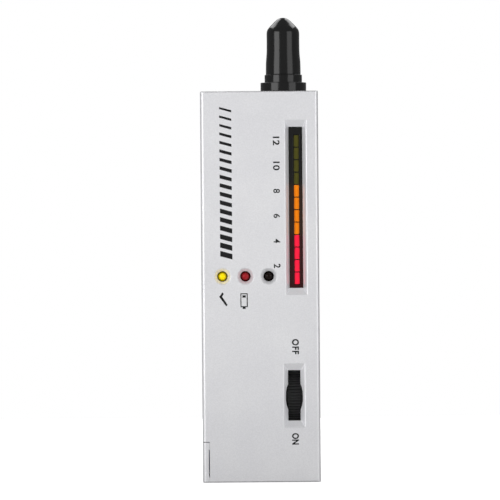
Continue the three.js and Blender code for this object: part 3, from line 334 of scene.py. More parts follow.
class Finishes(bpy.types.PropertyGroup):
    """Colours of the main pieces"""

    paint: tint("Paint", "Silver-grey paint of the case", "E6E6E8")
    flake: tint("Flake", "Darker flake in the paint", "DEDEE0")
    gloss_black: tint("Gloss black", "Cap and collar", "121212")
    satin_black: tint("Satin black", "Buzzer and switch", "121213")
    ridge_black: tint("Ridge black", "Ridges of the thumbwheel", "0F0F10")
    ink: tint("Ink", "Printed marks", "0D0D0E")
    # The lens middles below are brighter than their painted-shade rims, and the lit lens holds its painted
    # glow.
    yellow_lens: tint("Yellow lens", "Middle of the lit ready lamp", "D2B800")
    red_lens: tint("Red lens", "Middle of the low battery lamp", "7E161C")
    dark_lens: tint("Dark lens", "Middle of the metal alert lamp", "0E0604")
    # The segment middles below are brighter than their painted-shade edges, and the lit ones hold their
    # painted glow.
    red_segment: tint("Red segments", "Middle of the four lowest segments", "D01634")
    orange_segment: tint("Orange segments", "Middle of the next four segments", "C06602")
    olive_segment: tint("Olive segments", "Middle of the four unlit segments", "3A380E")


# Meshes


def outward(mesh):
    """Merges double points and turns every face outwards."""
    work = bmesh.new()
    work.from_mesh(mesh)
    bmesh.ops.remove_doubles(work, verts=work.verts, dist=SAME_POINT)
    bmesh.ops.recalc_face_normals(work, faces=work.faces)
    work.to_mesh(mesh)
    work.free()
    return mesh


def closed_mesh(name, points, faces):
    """A mesh from points and faces, with its faces outwards."""
    mesh = bpy.data.meshes.new(name)
    mesh.from_pydata([tuple(point) for point in points], [], faces)
    return outward(mesh)


def loft(name, rings):
    """A closed mesh through rings of as many points each, with flat ends."""
    count = len(rings[0])
    total = count * len(rings)
    faces = [tuple(range(count)), tuple(range(total - count, total))]
    for start in range(0, total - count, count):
        for i in range(count):
            a = start + i
            b = start + (i + 1) % count
            faces.append((a, b, b + count, a + count))
    return closed_mesh(name, [point for ring in rings for point in ring], faces)


def rounded_ring(centre, size, radius, depth, steps=EDGE_STEPS):
    """Points round a rectangle with rounded corners in the front view, at one depth."""
    points = []
    for quarter, (side, end) in enumerate(((1, -1), (1, 1), (-1, 1), (-1, -1))):
        middle_x = centre[0] + side * (size[0] / 2 - radius)
        middle_z = centre[1] + end * (size[1] / 2 - radius)
        for i in range(steps + 1):
            turn = math.pi / 2 * (quarter - 1 + i / steps)
            points.append((middle_x + radius * math.cos(turn), depth, middle_z + radius * math.sin(turn)))
    return points


def quarter_turn(steps):
    """Angles from nothing to a right angle."""
    return [math.pi / 2 * i / steps for i in range(steps + 1)]


def stacked(name, centre, size, corner, profile, steps):
    """A closed mesh through rounded rectangles that grow or shrink with depth. The profile is [growth,
    depth], and the corner's radius follows the growth."""
    rings = []
    for growth, depth in profile:
        ring_size = (size[0] + 2 * growth, size[1] + 2 * growth)
        rings.append(rounded_ring(centre, ring_size, grown_corner(corner, growth), depth, steps))
    return loft(name, rings)


def grown_corner(corner, growth):
    """The radius of a corner after growth. It shrinks to an eighth at most."""
    return max(corner + growth, corner / 8)


def block(name, low, high):
    """A box between two corners."""
    centre = ((low[0] + high[0]) / 2, (low[2] + high[2]) / 2)
    width = (high[0] - low[0]) / 2
    height = (high[2] - low[2]) / 2
    corners = ((-1, -1), (1, -1), (1, 1), (-1, 1))
    rings = []
    for depth in (low[1], high[1]):
        rings.append([(centre[0] + x * width, depth, centre[1] + z * height) for x, z in corners])
    return loft(name, rings)


def turned(name, axis, profile, centre, sides, hollow=False):
    """A shape turned about an axis. The profile is [radius, place along the axis]. A hollow one closes on
    itself, and any other is closed at its two ends."""
    order = {"x": (2, 0, 1), "y": (0, 2, 1), "z": (0, 1, 2)}[axis]
    points, rows, faces = [], [], []
    for radius, along in profile:
        count = sides if radius > 0 else 1
        rows.append(range(len(points), len(points) + count))
        for i in range(count):
            turn = 2 * math.pi * i / count
            local = (radius * math.cos(turn), radius * math.sin(turn), along)
            points.append([local[order[k]] + centre[k] for k in range(3)])
    pairs = list(zip(rows, rows[1:]))
    if hollow:
        pairs.append((rows[-1], rows[0]))
    for low, high in pairs:
        for i in range(sides):
            j = (i + 1) % sides
            corners = [low[i % len(low)], low[j % len(low)], high[j % len(high)], high[i % len(high)]]
            face = list(dict.fromkeys(corners))
            if len(face) > 2:
                faces.append(face)
    if not hollow:
        faces.extend(list(row) for row in (rows[0], rows[-1]) if len(row) > 1)
    return closed_mesh(name, points, faces)


def softened(outline, radius):
    """An open outline whose corners are rounded by short curves that start that far from them."""
    points = [Vector(point) for point in outline]
    soft = [points[0]]
    for before, corner, after in zip(points, points[1:], points[2:]):
        start = corner + (before - corner).normalized() * min(radius, (before - corner).length / 2)
        end = corner + (after - corner).normalized() * min(radius, (after - corner).length / 2)
        for i in range(RIM_STEPS + 1):
            share = i / RIM_STEPS
            soft.append(start * (1 - share) ** 2 + corner * 2 * share * (1 - share) + end * share**2)
    soft.append(points[-1])
    return soft


def curved(outline):
    """A smooth curve through every point of an outline."""
    points = [Vector(point) for point in outline]
    ends = [points[0] * 2 - points[1], *points, points[-1] * 2 - points[-2]]
    smooth = []
    for a, b, c, d in zip(ends, ends[1:], ends[2:], ends[3:]):
        for i in range(CURVE_STEPS):
            share = i / CURVE_STEPS
            square = (2 * a - 5 * b + 4 * c - d) * share**2
            cube = (3 * b - a - 3 * c + d) * share**3
            smooth.append(0.5 * (2 * b + (c - a) * share + square + cube))
    smooth.append(points[-1])
    return smooth


def evaluated(thing):
    """The mesh of an object with its modifiers applied."""
    graph = bpy.context.evaluated_depsgraph_get()
    graph.update()
    final = thing.evaluated_get(graph)
    return bpy.data.meshes.new_from_object(final, preserve_all_data_layers=True, depsgraph=graph)


def new_object(data, where=None):
    """An object for a mesh, a text, a lamp or a camera, in a collection or else in the scene."""
    made = bpy.data.objects.new(data.name, data)
    (where or bpy.context.scene.collection).objects.link(made)
    return made


def shaped(name, base, join=(), cut=(), keep=()):
    """A mesh with others joined to it, then cut out of it, then only what lies inside the kept ones left."""
    group = bpy.data.collections.new(name)
    bpy.context.scene.collection.children.link(group)
    body = new_object(base, group)
    for operation, meshes in (("UNION", join), ("DIFFERENCE", cut), ("INTERSECT", keep)):
        for mesh in meshes:
            step = body.modifiers.new(operation, "BOOLEAN")
            step.operation = operation
            step.solver = "EXACT"
            step.object = new_object(mesh, group)
    made = evaluated(body)
    made.name = name
    for thing in list(group.objects):
        bpy.data.objects.remove(thing)
    bpy.data.collections.remove(group)
    return made


def shaded(mesh, bevel=0):
    """Smooth shading that leaves flat faces flat. A bevel softens the crisp edges first."""
    mesh.polygons.foreach_set("use_smooth", [True] * len(mesh.polygons))
    mesh.set_sharp_from_angle(angle=SHARP)
    body = new_object(mesh)
    if bevel:
        edge = body.modifiers.new("edge", "BEVEL")
        edge.width = bevel
        edge.segments = BEVEL_STEPS
        edge.limit_method = "ANGLE"
        edge.angle_limit = SHARP
        edge.harden_normals = True
    weighted = body.modifiers.new("normals", "WEIGHTED_NORMAL")
    weighted.keep_sharp = True
    weighted.weight = 90
    made = evaluated(body)
    made.name = mesh.name
    bpy.data.objects.remove(body)
    return made


def add_piece(name, mesh, material, body, nodes=()):
    """Adds a finished mesh to the scene as a piece that rides on a body and stands for CAD nodes."""
    made = bpy.data.objects.new(name, mesh)
    bpy.context.scene.collection.objects.link(made)
    if material:
        mesh.materials.clear()
        mesh.materials.append(material)
    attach(made, body)
    if nodes:
        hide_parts(*nodes)
    return made


def middle(node):
    """The centre of a CAD node's box."""
    low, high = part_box(node)
    return (low + high) / 2


# Geometry Nodes


def add_node(tree, kind, settings=None, links=None):
    """Adds a node to a tree. Settings are attributes or values of inputs, and links feed inputs."""
    made = tree.nodes.new(kind)
    for key, value in (settings or {}).items():
        if isinstance(key, str) and hasattr(made, key):
            setattr(made, key, value)
        else:
            made.inputs[key].default_value = value
    for key, socket in (links or {}).items():
        tree.links.new(socket, made.inputs[key])
    return made


def new_tree(name, inputs):
    """A Geometry Nodes tree with named inputs, and the node that gives them."""
    tree = bpy.data.node_groups.new(name, "GeometryNodeTree")
    for label, kind in inputs.items():
        tree.interface.new_socket(label, in_out="INPUT", socket_type="NodeSocket" + kind)
    tree.interface.new_socket("Geometry", in_out="OUTPUT", socket_type="NodeSocketGeometry")
    return tree, add_node(tree, "NodeGroupInput").outputs


def end_tree(tree, geometry, material):
    """Makes the instances real, gives them their material and sends them out."""
    real = add_node(tree, "GeometryNodeRealizeInstances", links={"Geometry": geometry})
    links = {"Geometry": real.outputs[0], "Material": material}
    painted = add_node(tree, "GeometryNodeSetMaterial", links=links)
    add_node(tree, "NodeGroupOutput", links={"Geometry": painted.outputs[0]})


def grown(name, tree, values):
    """The plain mesh that a tree makes from values for its named inputs."""
    body = new_object(bpy.data.meshes.new(name))
    modifier = body.modifiers.new(name, "NODES")
    modifier.node_group = tree
    for item in tree.interface.items_tree:
        if item.in_out == "INPUT":
            modifier[item.identifier] = values[item.name]
    made = evaluated(body)
    made.name = name
    bpy.data.objects.remove(body)
    return made


def row_tree():
    """Copies of an object in a row along Z."""
    inputs = {"Copy": "Object", "First": "Vector", "Step": "Vector", "Count": "Int", "Material": "Material"}
    tree, given = new_tree("row_of_segments", inputs)
    places = add_node(
        tree,
        "GeometryNodeMeshLine",
        links={"Start Location": given["First"], "Offset": given["Step"], "Count": given["Count"]},
    )
    copy = add_node(tree, "GeometryNodeObjectInfo", links={"Object": given["Copy"]})
    copies = add_node(
        tree,
        "GeometryNodeInstanceOnPoints",
        links={"Points": places.outputs[0], "Instance": copy.outputs["Geometry"]},
    )
    end_tree(tree, copies.outputs[0], given["Material"])
    return tree


def places_tree():
    """Copies of an object at the points of another one."""
    inputs = {"Copy": "Object", "Places": "Object", "Material": "Material"}
    tree, given = new_tree("copies_at_places", inputs)
    places = add_node(tree, "GeometryNodeObjectInfo", links={"Object": given["Places"]})
    copy = add_node(tree, "GeometryNodeObjectInfo", links={"Object": given["Copy"]})
    copies = add_node(
        tree,
        "GeometryNodeInstanceOnPoints",
        links={"Points": places.outputs["Geometry"], "Instance": copy.outputs["Geometry"]},
    )
    end_tree(tree, copies.outputs[0], given["Material"])
    return tree


def knurl_tree():
    """A wheel about Z with copies of a tooth round its rim, turned so that its axis runs along X."""
    inputs = {"Tooth": "Object", "Teeth": "Int", "Rim radius": "Float", "Bore radius": "Float"}
    inputs.update({"Width": "Float", "Edge": "Float", "Centre": "Vector", "Material": "Material"})
    tree, given = new_tree("knurled_wheel", inputs)
    radii = {0: given["Rim radius"], 1: given["Bore radius"]}
    both = add_node(tree, "ShaderNodeMath", {"operation": "ADD"}, radii)
    path_radius = add_node(tree, "ShaderNodeMath", {"operation": "DIVIDE", 1: 2}, {0: both.outputs[0]})
    depth = add_node(tree, "ShaderNodeMath", {"operation": "SUBTRACT"}, radii)
    path = add_node(
        tree,
        "GeometryNodeCurvePrimitiveCircle",
        {"Resolution": WHEEL_SIDES},
        {"Radius": path_radius.outputs[0]},
    )
    section = add_node(
        tree,
        "GeometryNodeCurvePrimitiveQuadrilateral",
        links={"Width": depth.outputs[0], "Height": given["Width"]},
    )
    fillet = add_node(
        tree,
        "GeometryNodeFilletCurve",
        {"mode": "POLY", "Count": RIM_STEPS, "Limit Radius": True},
        {"Curve": section.outputs[0], "Radius": given["Edge"]},
    )
    ring = add_node(
        tree, "GeometryNodeCurveToMesh", links={"Curve": path.outputs[0], "Profile Curve": fillet.outputs[0]}
    )
    rim = add_node(
        tree, "GeometryNodeMeshCircle", links={"Vertices": given["Teeth"], "Radius": given["Rim radius"]}
    )
    place = add_node(tree, "GeometryNodeInputPosition")
    facing = add_node(tree, "FunctionNodeAlignRotationToVector", {"axis": "X"}, {"Vector": place.outputs[0]})
    tooth = add_node(tree, "GeometryNodeObjectInfo", links={"Object": given["Tooth"]})
    teeth = add_node(
        tree,
        "GeometryNodeInstanceOnPoints",
        links={
            "Points": rim.outputs[0],
            "Instance": tooth.outputs["Geometry"],
            "Rotation": facing.outputs[0],
        },
    )
    wheel = add_node(tree, "GeometryNodeJoinGeometry")
    tree.links.new(ring.outputs[0], wheel.inputs[0])
    tree.links.new(teeth.outputs[0], wheel.inputs[0])
    turned_wheel = add_node(
        tree,
        "GeometryNodeTransform",
        {"Rotation": (0, math.pi / 2, 0)},
        {"Geometry": wheel.outputs[0], "Translation": given["Centre"]},
    )
    end_tree(tree, turned_wheel.outputs[0], given["Material"])
    return tree


def spring_tree():
    """A coil of round wire about Z that stands on a place."""
    inputs = {"Turns": "Float", "Radius": "Float", "Height": "Float", "Wire radius": "Float"}
    inputs.update({"Foot": "Vector", "Material": "Material"})
    tree, given = new_tree("coil_spring", inputs)
    coil = add_node(
        tree,
        "GeometryNodeCurveSpiral",
        {"Resolution": COIL_STEPS},
        {
            "Rotations": given["Turns"],
            "Start Radius": given["Radius"],
            "End Radius": given["Radius"],
            "Height": given["Height"],
        },
    )
    section = add_node(
        tree,
        "GeometryNodeCurvePrimitiveCircle",
        {"Resolution": WIRE_SIDES},
        {"Radius": given["Wire radius"]},
    )
    wire = add_node(
        tree,
        "GeometryNodeCurveToMesh",
        {"Fill Caps": True},
        {"Curve": coil.outputs[0], "Profile Curve": section.outputs[0]},
    )
    placed = add_node(
        tree, "GeometryNodeTransform", links={"Geometry": wire.outputs[0], "Translation": given["Foot"]}
    )
    end_tree(tree, placed.outputs[0], given["Material"])
    return tree


def holes_tree():
    """Round bars along Y, one in the middle and a ring of them round it, that cut a sound grille."""
    inputs = {"Holes": "Int", "Ring radius": "Float", "Hole radius": "Float", "Length": "Float"}
    inputs.update({"Centre": "Vector", "Material": "Material"})
    tree, given = new_tree("sound_grille", inputs)
    ring = add_node(
        tree, "GeometryNodeMeshCircle", links={"Vertices": given["Holes"], "Radius": given["Ring radius"]}
    )
    centre = add_node(tree, "GeometryNodePoints", {"Count": 1})
    bar = add_node(
        tree,
        "GeometryNodeMeshCylinder",
        {"Vertices": SMALL_ROUND},
        {"Radius": given["Hole radius"], "Depth": given["Length"]},
    )
    both = add_node(tree, "GeometryNodeJoinGeometry")
    for points in (ring, centre):
        bars = add_node(
            tree,
            "GeometryNodeInstanceOnPoints",
            links={"Points": points.outputs[0], "Instance": bar.outputs["Mesh"]},
        )
        tree.links.new(bars.outputs[0], both.inputs[0])
    placed = add_node(
        tree,
        "GeometryNodeTransform",
        {"Rotation": (math.pi / 2, 0, 0)},
        {"Geometry": both.outputs[0], "Translation": given["Centre"]},
    )
    end_tree(tree, placed.outputs[0], given["Material"])
    return tree


# Materials


def per_mm(size):
    """The scale of a pattern whose features are that many millimetres apart."""
    return 1 / (size * MM)


def new_material(name):
    """An empty node material, with the object's own coordinates."""
    material = bpy.data.materials.new(name)
    material.use_nodes = True
    tree = material.node_tree
    tree.nodes.clear()
    return material, tree, add_node(tree, "ShaderNodeTexCoord").outputs["Object"]


def mottle(tree, coordinates, size, detail=2.0, stretch=(1, 1, 1)):
    """Random variation with features of a size in millimetres. A small stretch draws them out on an axis."""
    moved = add_node(tree, "ShaderNodeMapping", {"Scale": stretch}, {"Vector": coordinates})
    settings = {"Scale": per_mm(size), "Detail": detail}
    return add_node(tree, "ShaderNodeTexNoise", settings, {"Vector": moved.outputs[0]}).outputs[0]


def shades(low, high):
    """Settings that mix two colours by a factor."""
    return {"data_type": "RGBA", 6: (*low, 1), 7: (*high, 1)}


def between(low, high, start=0.0, end=1.0):
    """Settings that move a number into a range from another one."""
    return {"From Min": start, "From Max": end, "To Min": low, "To Max": high}


def follow(tree, pattern, low, high, smooth, rough):
    """Links for a shader whose colour and roughness both follow a pattern."""
    colour = add_node(tree, "ShaderNodeMix", shades(low, high), {0: pattern})
    roughness = add_node(tree, "ShaderNodeMapRange", between(smooth, rough), {"Value": pattern})
    return {"Base Color": colour.outputs[2], "Roughness": roughness.outputs[0]}


def surface(tree, settings, links, bump=None, height=0.0):
    """Ends a material in a Principled shader, over a bump of that many millimetres if there is one."""
    shader = add_node(tree, "ShaderNodeBsdfPrincipled", settings, links)
    if bump:
        settings = {"Distance": height * MM, "Strength": 1.0}
        relief = add_node(tree, "ShaderNodeBump", settings, {"Height": bump})
        tree.links.new(relief.outputs[0], shader.inputs["Normal"])
    add_node(tree, "ShaderNodeOutputMaterial", links={"Surface": shader.outputs[0]})


def painted_abs(finishes):
    """Injection-moulded ABS under sprayed silver paint and clear lacquer. Fine flake and a soft orange peel
    break up the even grey."""
    material, tree, place = new_material("painted_ABS")
    flake = mottle(tree, place, 0.35, 3.0)  # coarser than real flake, which is too fine to show
    cloud = mottle(tree, place, 14, 1.0)
    sparkle = add_node(tree, "ShaderNodeMapRange", between(0, 1, 0.35, 0.7), {"Value": flake})
    drift = add_node(tree, "ShaderNodeMapRange", between(0, 1, 0.3, 0.7), {"Value": cloud})
    greys = shades(finishes.flake, finishes.paint)
    grey = add_node(tree, "ShaderNodeMix", greys, {0: sparkle.outputs[0]})
    whites = shades(linear("FAFAFB"), linear("FFFFFF"))
    shift = add_node(tree, "ShaderNodeMix", whites, {0: drift.outputs[0]})
    mixing = {"data_type": "RGBA", "blend_type": "MULTIPLY", 0: 1.0}
    colour = add_node(tree, "ShaderNodeMix", mixing, {6: grey.outputs[2], 7: shift.outputs[2]})
    rough = add_node(tree, "ShaderNodeMapRange", between(0.3, 0.4), {"Value": flake})
    peel = mottle(tree, place, 1.1, 1.0)
    links = {"Base Color": colour.outputs[2], "Roughness": rough.outputs[0]}
    lacquer = {"Coat Weight": 0.6, "Coat IOR": 1.5, "Coat Roughness": 0.12}
    surface(tree, {"Metallic": 0.5, "IOR": 1.5, **lacquer}, links, peel, 0.002)
    return material


def gloss_black_abs(finishes):
    """ABS from a polished mould. It shows the lamps as crisp bands, with faint lines along the pull."""
    material, tree, place = new_material("gloss_black_ABS")
    lines = mottle(tree, place, 0.4, 2.0, (1, 1, 0.03))
    links = follow(tree, lines, linear("0F0F0F"), finishes.gloss_black, 0.1, 0.2)
    surface(tree, {"IOR": 1.52}, links, lines, 0.002)
    return material


def satin_black_nylon(finishes):
    """Moulded nylon as it leaves the mould. A fine grain breaks up its satin sheen."""
    material, tree, place = new_material("satin_black_nylon")
    grain = mottle(tree, place, 0.3, 3.0)
    links = follow(tree, grain, linear("0A0A0B"), finishes.satin_black, 0.42, 0.6)
    surface(tree, {"IOR": 1.53}, links, grain, 0.006)
    return material


def rubbed_black_nylon(finishes, centre, groove, ridge):
    """Moulded nylon whose knurl fingers have rubbed. The ridges are lighter, partly rubbed wear and partly
    painted highlight, over grooves darkened with painted shade.
    """
    material, tree, place = new_material("rubbed_black_nylon")
    reach = axis_distance(tree, place, centre, (0, 1, 1))
    # darker towards the grooves: painted shade, and lighter on the ridges: wear and painted highlight
    height = add_node(tree, "ShaderNodeMapRange", between(0, 1, groove, ridge), {"Value": reach})
    links = follow(tree, height.outputs[0], linear("010101"), finishes.ridge_black, 0.85, 0.45)
    settings = {"IOR": 1.53, "Sheen Weight": 0.12, "Sheen Roughness": 0.4}
    surface(tree, settings, links, mottle(tree, place, 0.3, 3.0), 0.006)
    return material


def printed_ink(finishes):
    """Pad-printed ink. A dense satin black with slightly uneven cover."""
    material, tree, place = new_material("printed_ink")
    cover = mottle(tree, place, 0.25, 2.0)
    surface(tree, {"IOR": 1.48}, follow(tree, cover, finishes.ink, linear("151516"), 0.3, 0.4))
    return material


def axis_distance(tree, place, point, across=(1, 0, 1)):
    """How far a place is from an axis through a point, in metres. Across is 0 along the axis."""
    moved = add_node(tree, "ShaderNodeVectorMath", {"operation": "SUBTRACT", 1: point}, {0: place})
    links = {0: moved.outputs[0]}
    flat = add_node(tree, "ShaderNodeVectorMath", {"operation": "MULTIPLY", 1: across}, links)
    reach = add_node(tree, "ShaderNodeVectorMath", {"operation": "LENGTH"}, {0: flat.outputs[0]})
    return reach.outputs["Value"]


def epoxy_lamp(name, axis_point, radius, core, rim, glow):
    """Clear epoxy cast with dye, with painted light: the dome is painted brightest over the chip and darker
    towards its rim, and a lit lamp's glow is painted into its colour over a weak emission.
    """
    material, tree, place = new_material(name)
    links = {"Value": axis_distance(tree, place, axis_point)}
    # a brighter middle and a darker rim: painted light and painted shade
    reach = add_node(tree, "ShaderNodeMapRange", between(0, 1, radius * 0.45, radius), links)
    links = {0: reach.outputs[0]}
    colour = add_node(tree, "ShaderNodeMix", shades(core, linear(rim)), links).outputs[2]
    settings = {"Roughness": 0.06, "IOR": 1.5, "Specular IOR Level": 0.25, "Emission Strength": glow}
    links = {"Base Color": colour, "Emission Color": colour}
    surface(tree, settings, links, mottle(tree, place, 0.6, 1.0), 0.004)
    return material


def epoxy_bar(name, centre, size, core, edge, glow):
    """Diffused epoxy over a chip, with painted light: each bar is painted brightest along its middle and
    darker at its edges, and a lit bar's glow is painted into its colour over a weak emission.
    """
    material, tree, place = new_material(name)
    moved = add_node(tree, "ShaderNodeVectorMath", {"operation": "SUBTRACT", 1: centre}, {0: place})
    parts = add_node(tree, "ShaderNodeSeparateXYZ", links={0: moved.outputs[0]})
    across = add_node(tree, "ShaderNodeMath", {"operation": "ABSOLUTE"}, {0: parts.outputs["X"]})
    grain = mottle(tree, place, 0.8, 2.0)
    ragged = {"operation": "MULTIPLY_ADD", 1: size * 0.35}
    links = {"Value": add_node(tree, "ShaderNodeMath", ragged, {0: grain, 2: across.outputs[0]}).outputs[0]}
    # a brighter middle and darker edges: painted light and painted shade
    reach = add_node(tree, "ShaderNodeMapRange", between(0, 1, size * 0.25, size * 0.75), links)
    links = {0: reach.outputs[0]}
    colour = add_node(tree, "ShaderNodeMix", shades(core, linear(edge)), links).outputs[2]
    settings = {"Roughness": 0.2, "IOR": 1.5, "Emission Strength": glow}
    surface(tree, settings, {"Base Color": colour, "Emission Color": colour}, grain, 0.001)
    return material


def lit_housing(edges):
    """Glossy black ABS with a painted glow: its colour is warmer beside the lit segments, where their light
    would fall.
    """
    material, tree, place = new_material("black_diffuser_ABS")
    height = add_node(tree, "ShaderNodeSeparateXYZ", links={0: place}).outputs["Z"]
    share = add_node(tree, "ShaderNodeMapRange", between(0, 1, edges[0], edges[3]), {"Value": height})
    painted_glow_ramp = add_node(tree, "ShaderNodeValToRGB", links={0: share.outputs[0]})
    ramp = painted_glow_ramp.color_ramp
    whole = edges[0] - edges[3]
    fade = 0.02  # of the whole, on each side of a change of shade
    stops = []
    # plain black above, then orange and red painted glow beside the lit segments
    for start, end, hex_text in zip(edges, edges[1:], ("111110", "22160E", "260A0A")):
        stops.append(((edges[0] - start) / whole + fade, hex_text))
        stops.append(((edges[0] - end) / whole - fade, hex_text))
    for element, (position, hex_text) in zip(ramp.elements, (stops[0], stops[-1])):
        element.position = position
        element.color = (*linear(hex_text), 1)
    for position, hex_text in stops[1:-1]:
        ramp.elements.new(position).color = (*linear(hex_text), 1)
    grain = mottle(tree, place, 0.7, 2.0)
    rough = add_node(tree, "ShaderNodeMapRange", between(0.16, 0.24), {"Value": grain})
    links = {"Base Color": painted_glow_ramp.outputs[0], "Roughness": rough.outputs[0]}
    surface(tree, {"IOR": 1.5}, links, grain, 0.001)
    return material


def plated(name, light, dark, rough, stretch=(1, 1, 1), size=0.3):
    """A plated or polished metal. Fine lines left by the tool or the bath spread its reflections."""
    material, tree, place = new_material(name)
    lines = mottle(tree, place, size, 3.0, stretch)
    links = follow(tree, lines, linear(dark), linear(light), rough * 0.7, rough * 1.3)
    surface(tree, {"Metallic": 1.0}, links, lines, 0.002)
    return material


def moulded(name, light, dark, rough, grain, relief, ior=1.5):
    """A moulded, cast or drawn plastic, or foam. Two shades and a fine grain keep it from looking flat."""
    material, tree, place = new_material(name)
    pattern = mottle(tree, place, grain, 3.0)
    links = follow(tree, pattern, linear(dark), linear(light), rough * 0.85, min(rough * 1.15, 1))
    surface(tree, {"IOR": ior}, links, pattern, relief)
    return material


def circuit_board():
    """Glass-fibre laminate under green solder mask. Copper tracks show as a paler relief over the weave."""
    material, tree, place = new_material("glass_fibre_board")
    tracks = add_node(
        tree,
        "ShaderNodeTexVoronoi",
        {"distance": "MANHATTAN", "feature": "DISTANCE_TO_EDGE", "Scale": per_mm(3.4)},
        {"Vector": place},
    )
    links = {"Value": tracks.outputs["Distance"]}
    width = add_node(tree, "ShaderNodeMapRange", between(1, 0, 0.08, 0.1), links).outputs[0]
    colour = add_node(tree, "ShaderNodeMix", shades(linear("175A30"), linear("2C7F48")), {0: width})
    weave = mottle(tree, place, 0.5, 1.0)
    rough = add_node(tree, "ShaderNodeMapRange", between(0.3, 0.5), {"Value": weave})
    links = {"Base Color": colour.outputs[2], "Roughness": rough.outputs[0]}
    surface(tree, {"IOR": 1.5}, links, width, 0.03)
    return material


def banded_resistor(centre, span):
    """Lacquered ceramic with painted colour bands round it, on tinned wires."""
    material, tree, place = new_material("lacquered_resistor")
    moved = add_node(tree, "ShaderNodeVectorMath", {"operation": "SUBTRACT", 1: centre}, {0: place})
    along = add_node(tree, "ShaderNodeSeparateXYZ", links={0: moved.outputs[0]}).outputs["X"]
    share = add_node(tree, "ShaderNodeMapRange", between(0, 1, -span / 2, span / 2), {"Value": along})
    ramp = add_node(tree, "ShaderNodeValToRGB", links={0: share.outputs[0]})
    ramp.color_ramp.interpolation = "CONSTANT"
    stops = {0.0: "A9ABAD", 0.17: "CDB486", 0.26: "7A4A22", 0.33: "CDB486", 0.42: "1A1A1A", 0.49: "CDB486"}
    stops.update({0.58: "C03018", 0.65: "CDB486", 0.74: "C79A3A", 0.8: "CDB486", 0.83: "A9ABAD"})
    first = ramp.color_ramp.elements[0]
    first.color = (*linear(stops.pop(0.0)), 1)
    ramp.color_ramp.elements.remove(ramp.color_ramp.elements[1])
    for position, hex_text in stops.items():
        ramp.color_ramp.elements.new(position).color = (*linear(hex_text), 1)
    grain = mottle(tree, place, 0.4, 2.0)
    rough = add_node(tree, "ShaderNodeMapRange", between(0.35, 0.5), {"Value": grain})
    links = {"Base Color": ramp.outputs[0], "Roughness": rough.outputs[0]}
    surface(tree, {"IOR": 1.5}, links, grain, 0.01)
    return material


# Pieces


def skin_profile(sizes, front, back, grooved):
    """Growth at the sides, growth at the ends and depth of the case's outside, from one depth to another. It
    is rounded at the face that it reaches, and drawn in at the parting groove where it ends there."""
    radius = sizes.edge_radius
    arc = []
    for turn in quarter_turn(EDGE_STEPS):
        share = 1 - math.sin(turn)
        arc.append((-radius * share, -sizes.end_radius * share, radius * (1 - math.cos(turn))))
    profile = []
    if front < 0:
        profile += [(side, end, front + inwards) for side, end, inwards in arc]
    elif grooved:
        profile += [(drawn, drawn, depth) for drawn, depth in groove_profile(sizes, 1)]
    if back > 0:
        profile += [(side, end, back - inwards) for side, end, inwards in arc[::-1]]
    elif grooved:
        profile += [(drawn, drawn, depth) for drawn, depth in groove_profile(sizes, -1)[::-1]]
    return profile


def groove_profile(sizes, side):
    """Growth and depth of half the parting groove, from its floor to the case's side."""
    half = sizes.groove / 2
    chamfer = sizes.groove_chamfer
    return [
        (-sizes.groove, 0),
        (-sizes.groove, side * half),
        (-chamfer, side * half),
        (0, side * (half + chamfer)),
    ]


def case_skin(name, sizes, front, back, grooved):
    """The outside of the case, or of half of it, as one solid."""
    low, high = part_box("front_shell")
    centre = ((low.x + high.x) / 2, (low.z + high.z) / 2)
    rings = []
    for side, end, depth in skin_profile(sizes, front, back, grooved):
        size = (high.x - low.x + 2 * side, high.z - low.z + 2 * end)
        rings.append(rounded_ring(centre, size, grown_corner(sizes.corner_radius, side), depth))
    return loft(name, rings)


def face_depth(sizes):
    """Where the face lies, behind the thickness of the ink that is printed on it."""
    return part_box("front_shell")[0].y + sizes.ink


def case_room(sizes):
    """The hollow inside both shells."""
    low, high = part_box("front_shell")
    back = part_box("rear_shell")[1].y - sizes.rear_wall
    inside = Vector((sizes.side_wall, sizes.front_wall, sizes.end_wall))
    return block("room", low + inside, (high.x - sizes.side_wall, back, high.z - sizes.end_wall))


def door_room(sizes, door):
    """What the battery door takes out of both shells: its corner, and the opening under the battery."""
    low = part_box("front_shell")[0]
    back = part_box("rear_shell")[1].y
    far = low - Vector((OVERRUN, OVERRUN, OVERRUN))
    corner = block("door_corner", far, (low.x + door.strip, back + OVERRUN, low.z + door.height))
    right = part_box("battery_door")[1].x + door.running_gap
    front = low.y + sizes.front_wall
    opening_high = (right, back - sizes.rear_wall, low.z + sizes.end_wall + sizes.seat_gap)
    opening = block("door_opening", (far.x, front, far.z), opening_high)
    return [corner, opening]


def sloped_opening(name, centre, size, slopes, sizes):
    """A cutter for an opening with sloped edges, whose rims are rounded where they meet the face."""
    front = face_depth(sizes)
    edges = list(zip(slopes, (sizes.side_rim, sizes.end_rim)))
    growths = [(-OVERRUN, [slope + rim for slope, rim in edges])]
    for i in range(EDGE_STEPS + 1):
        share = i / EDGE_STEPS
        depth = sizes.rim_depth * share**2
        left = 1 - depth / sizes.slope_depth
        growths.append((depth, [slope * left + rim * (1 - share) ** 2 for slope, rim in edges]))
    growths.append((sizes.slope_depth, (0, 0)))
    growths.append((sizes.front_wall + OVERRUN, (0, 0)))
    rings = []
    for depth, (side, end) in growths:
        ring_size = (size[0] + 2 * side, size[1] + 2 * end)
        rings.append(rounded_ring(centre, ring_size, sizes.opening_corner, front + depth, CORNER_STEPS))
    return loft(name, rings)


def lamp_opening(node, sizes):
    """A cutter for a lamp's hole, countersunk from the face."""
    front = face_depth(sizes)
    outline = [
        (sizes.lamp_cone + OVERRUN, front),
        (sizes.lamp_cone, front),
        (sizes.lamp_hole, front + sizes.lamp_cone_depth),
        (sizes.lamp_hole, front + sizes.front_wall + OVERRUN),
    ]
    profile = softened(outline, sizes.lamp_rim)[1:]
    profile.insert(0, Vector((profile[0].x, front - OVERRUN)))
    centre = middle(node)
    return turned("lamp_hole", "y", profile, (centre.x, 0, centre.z), ROUND)


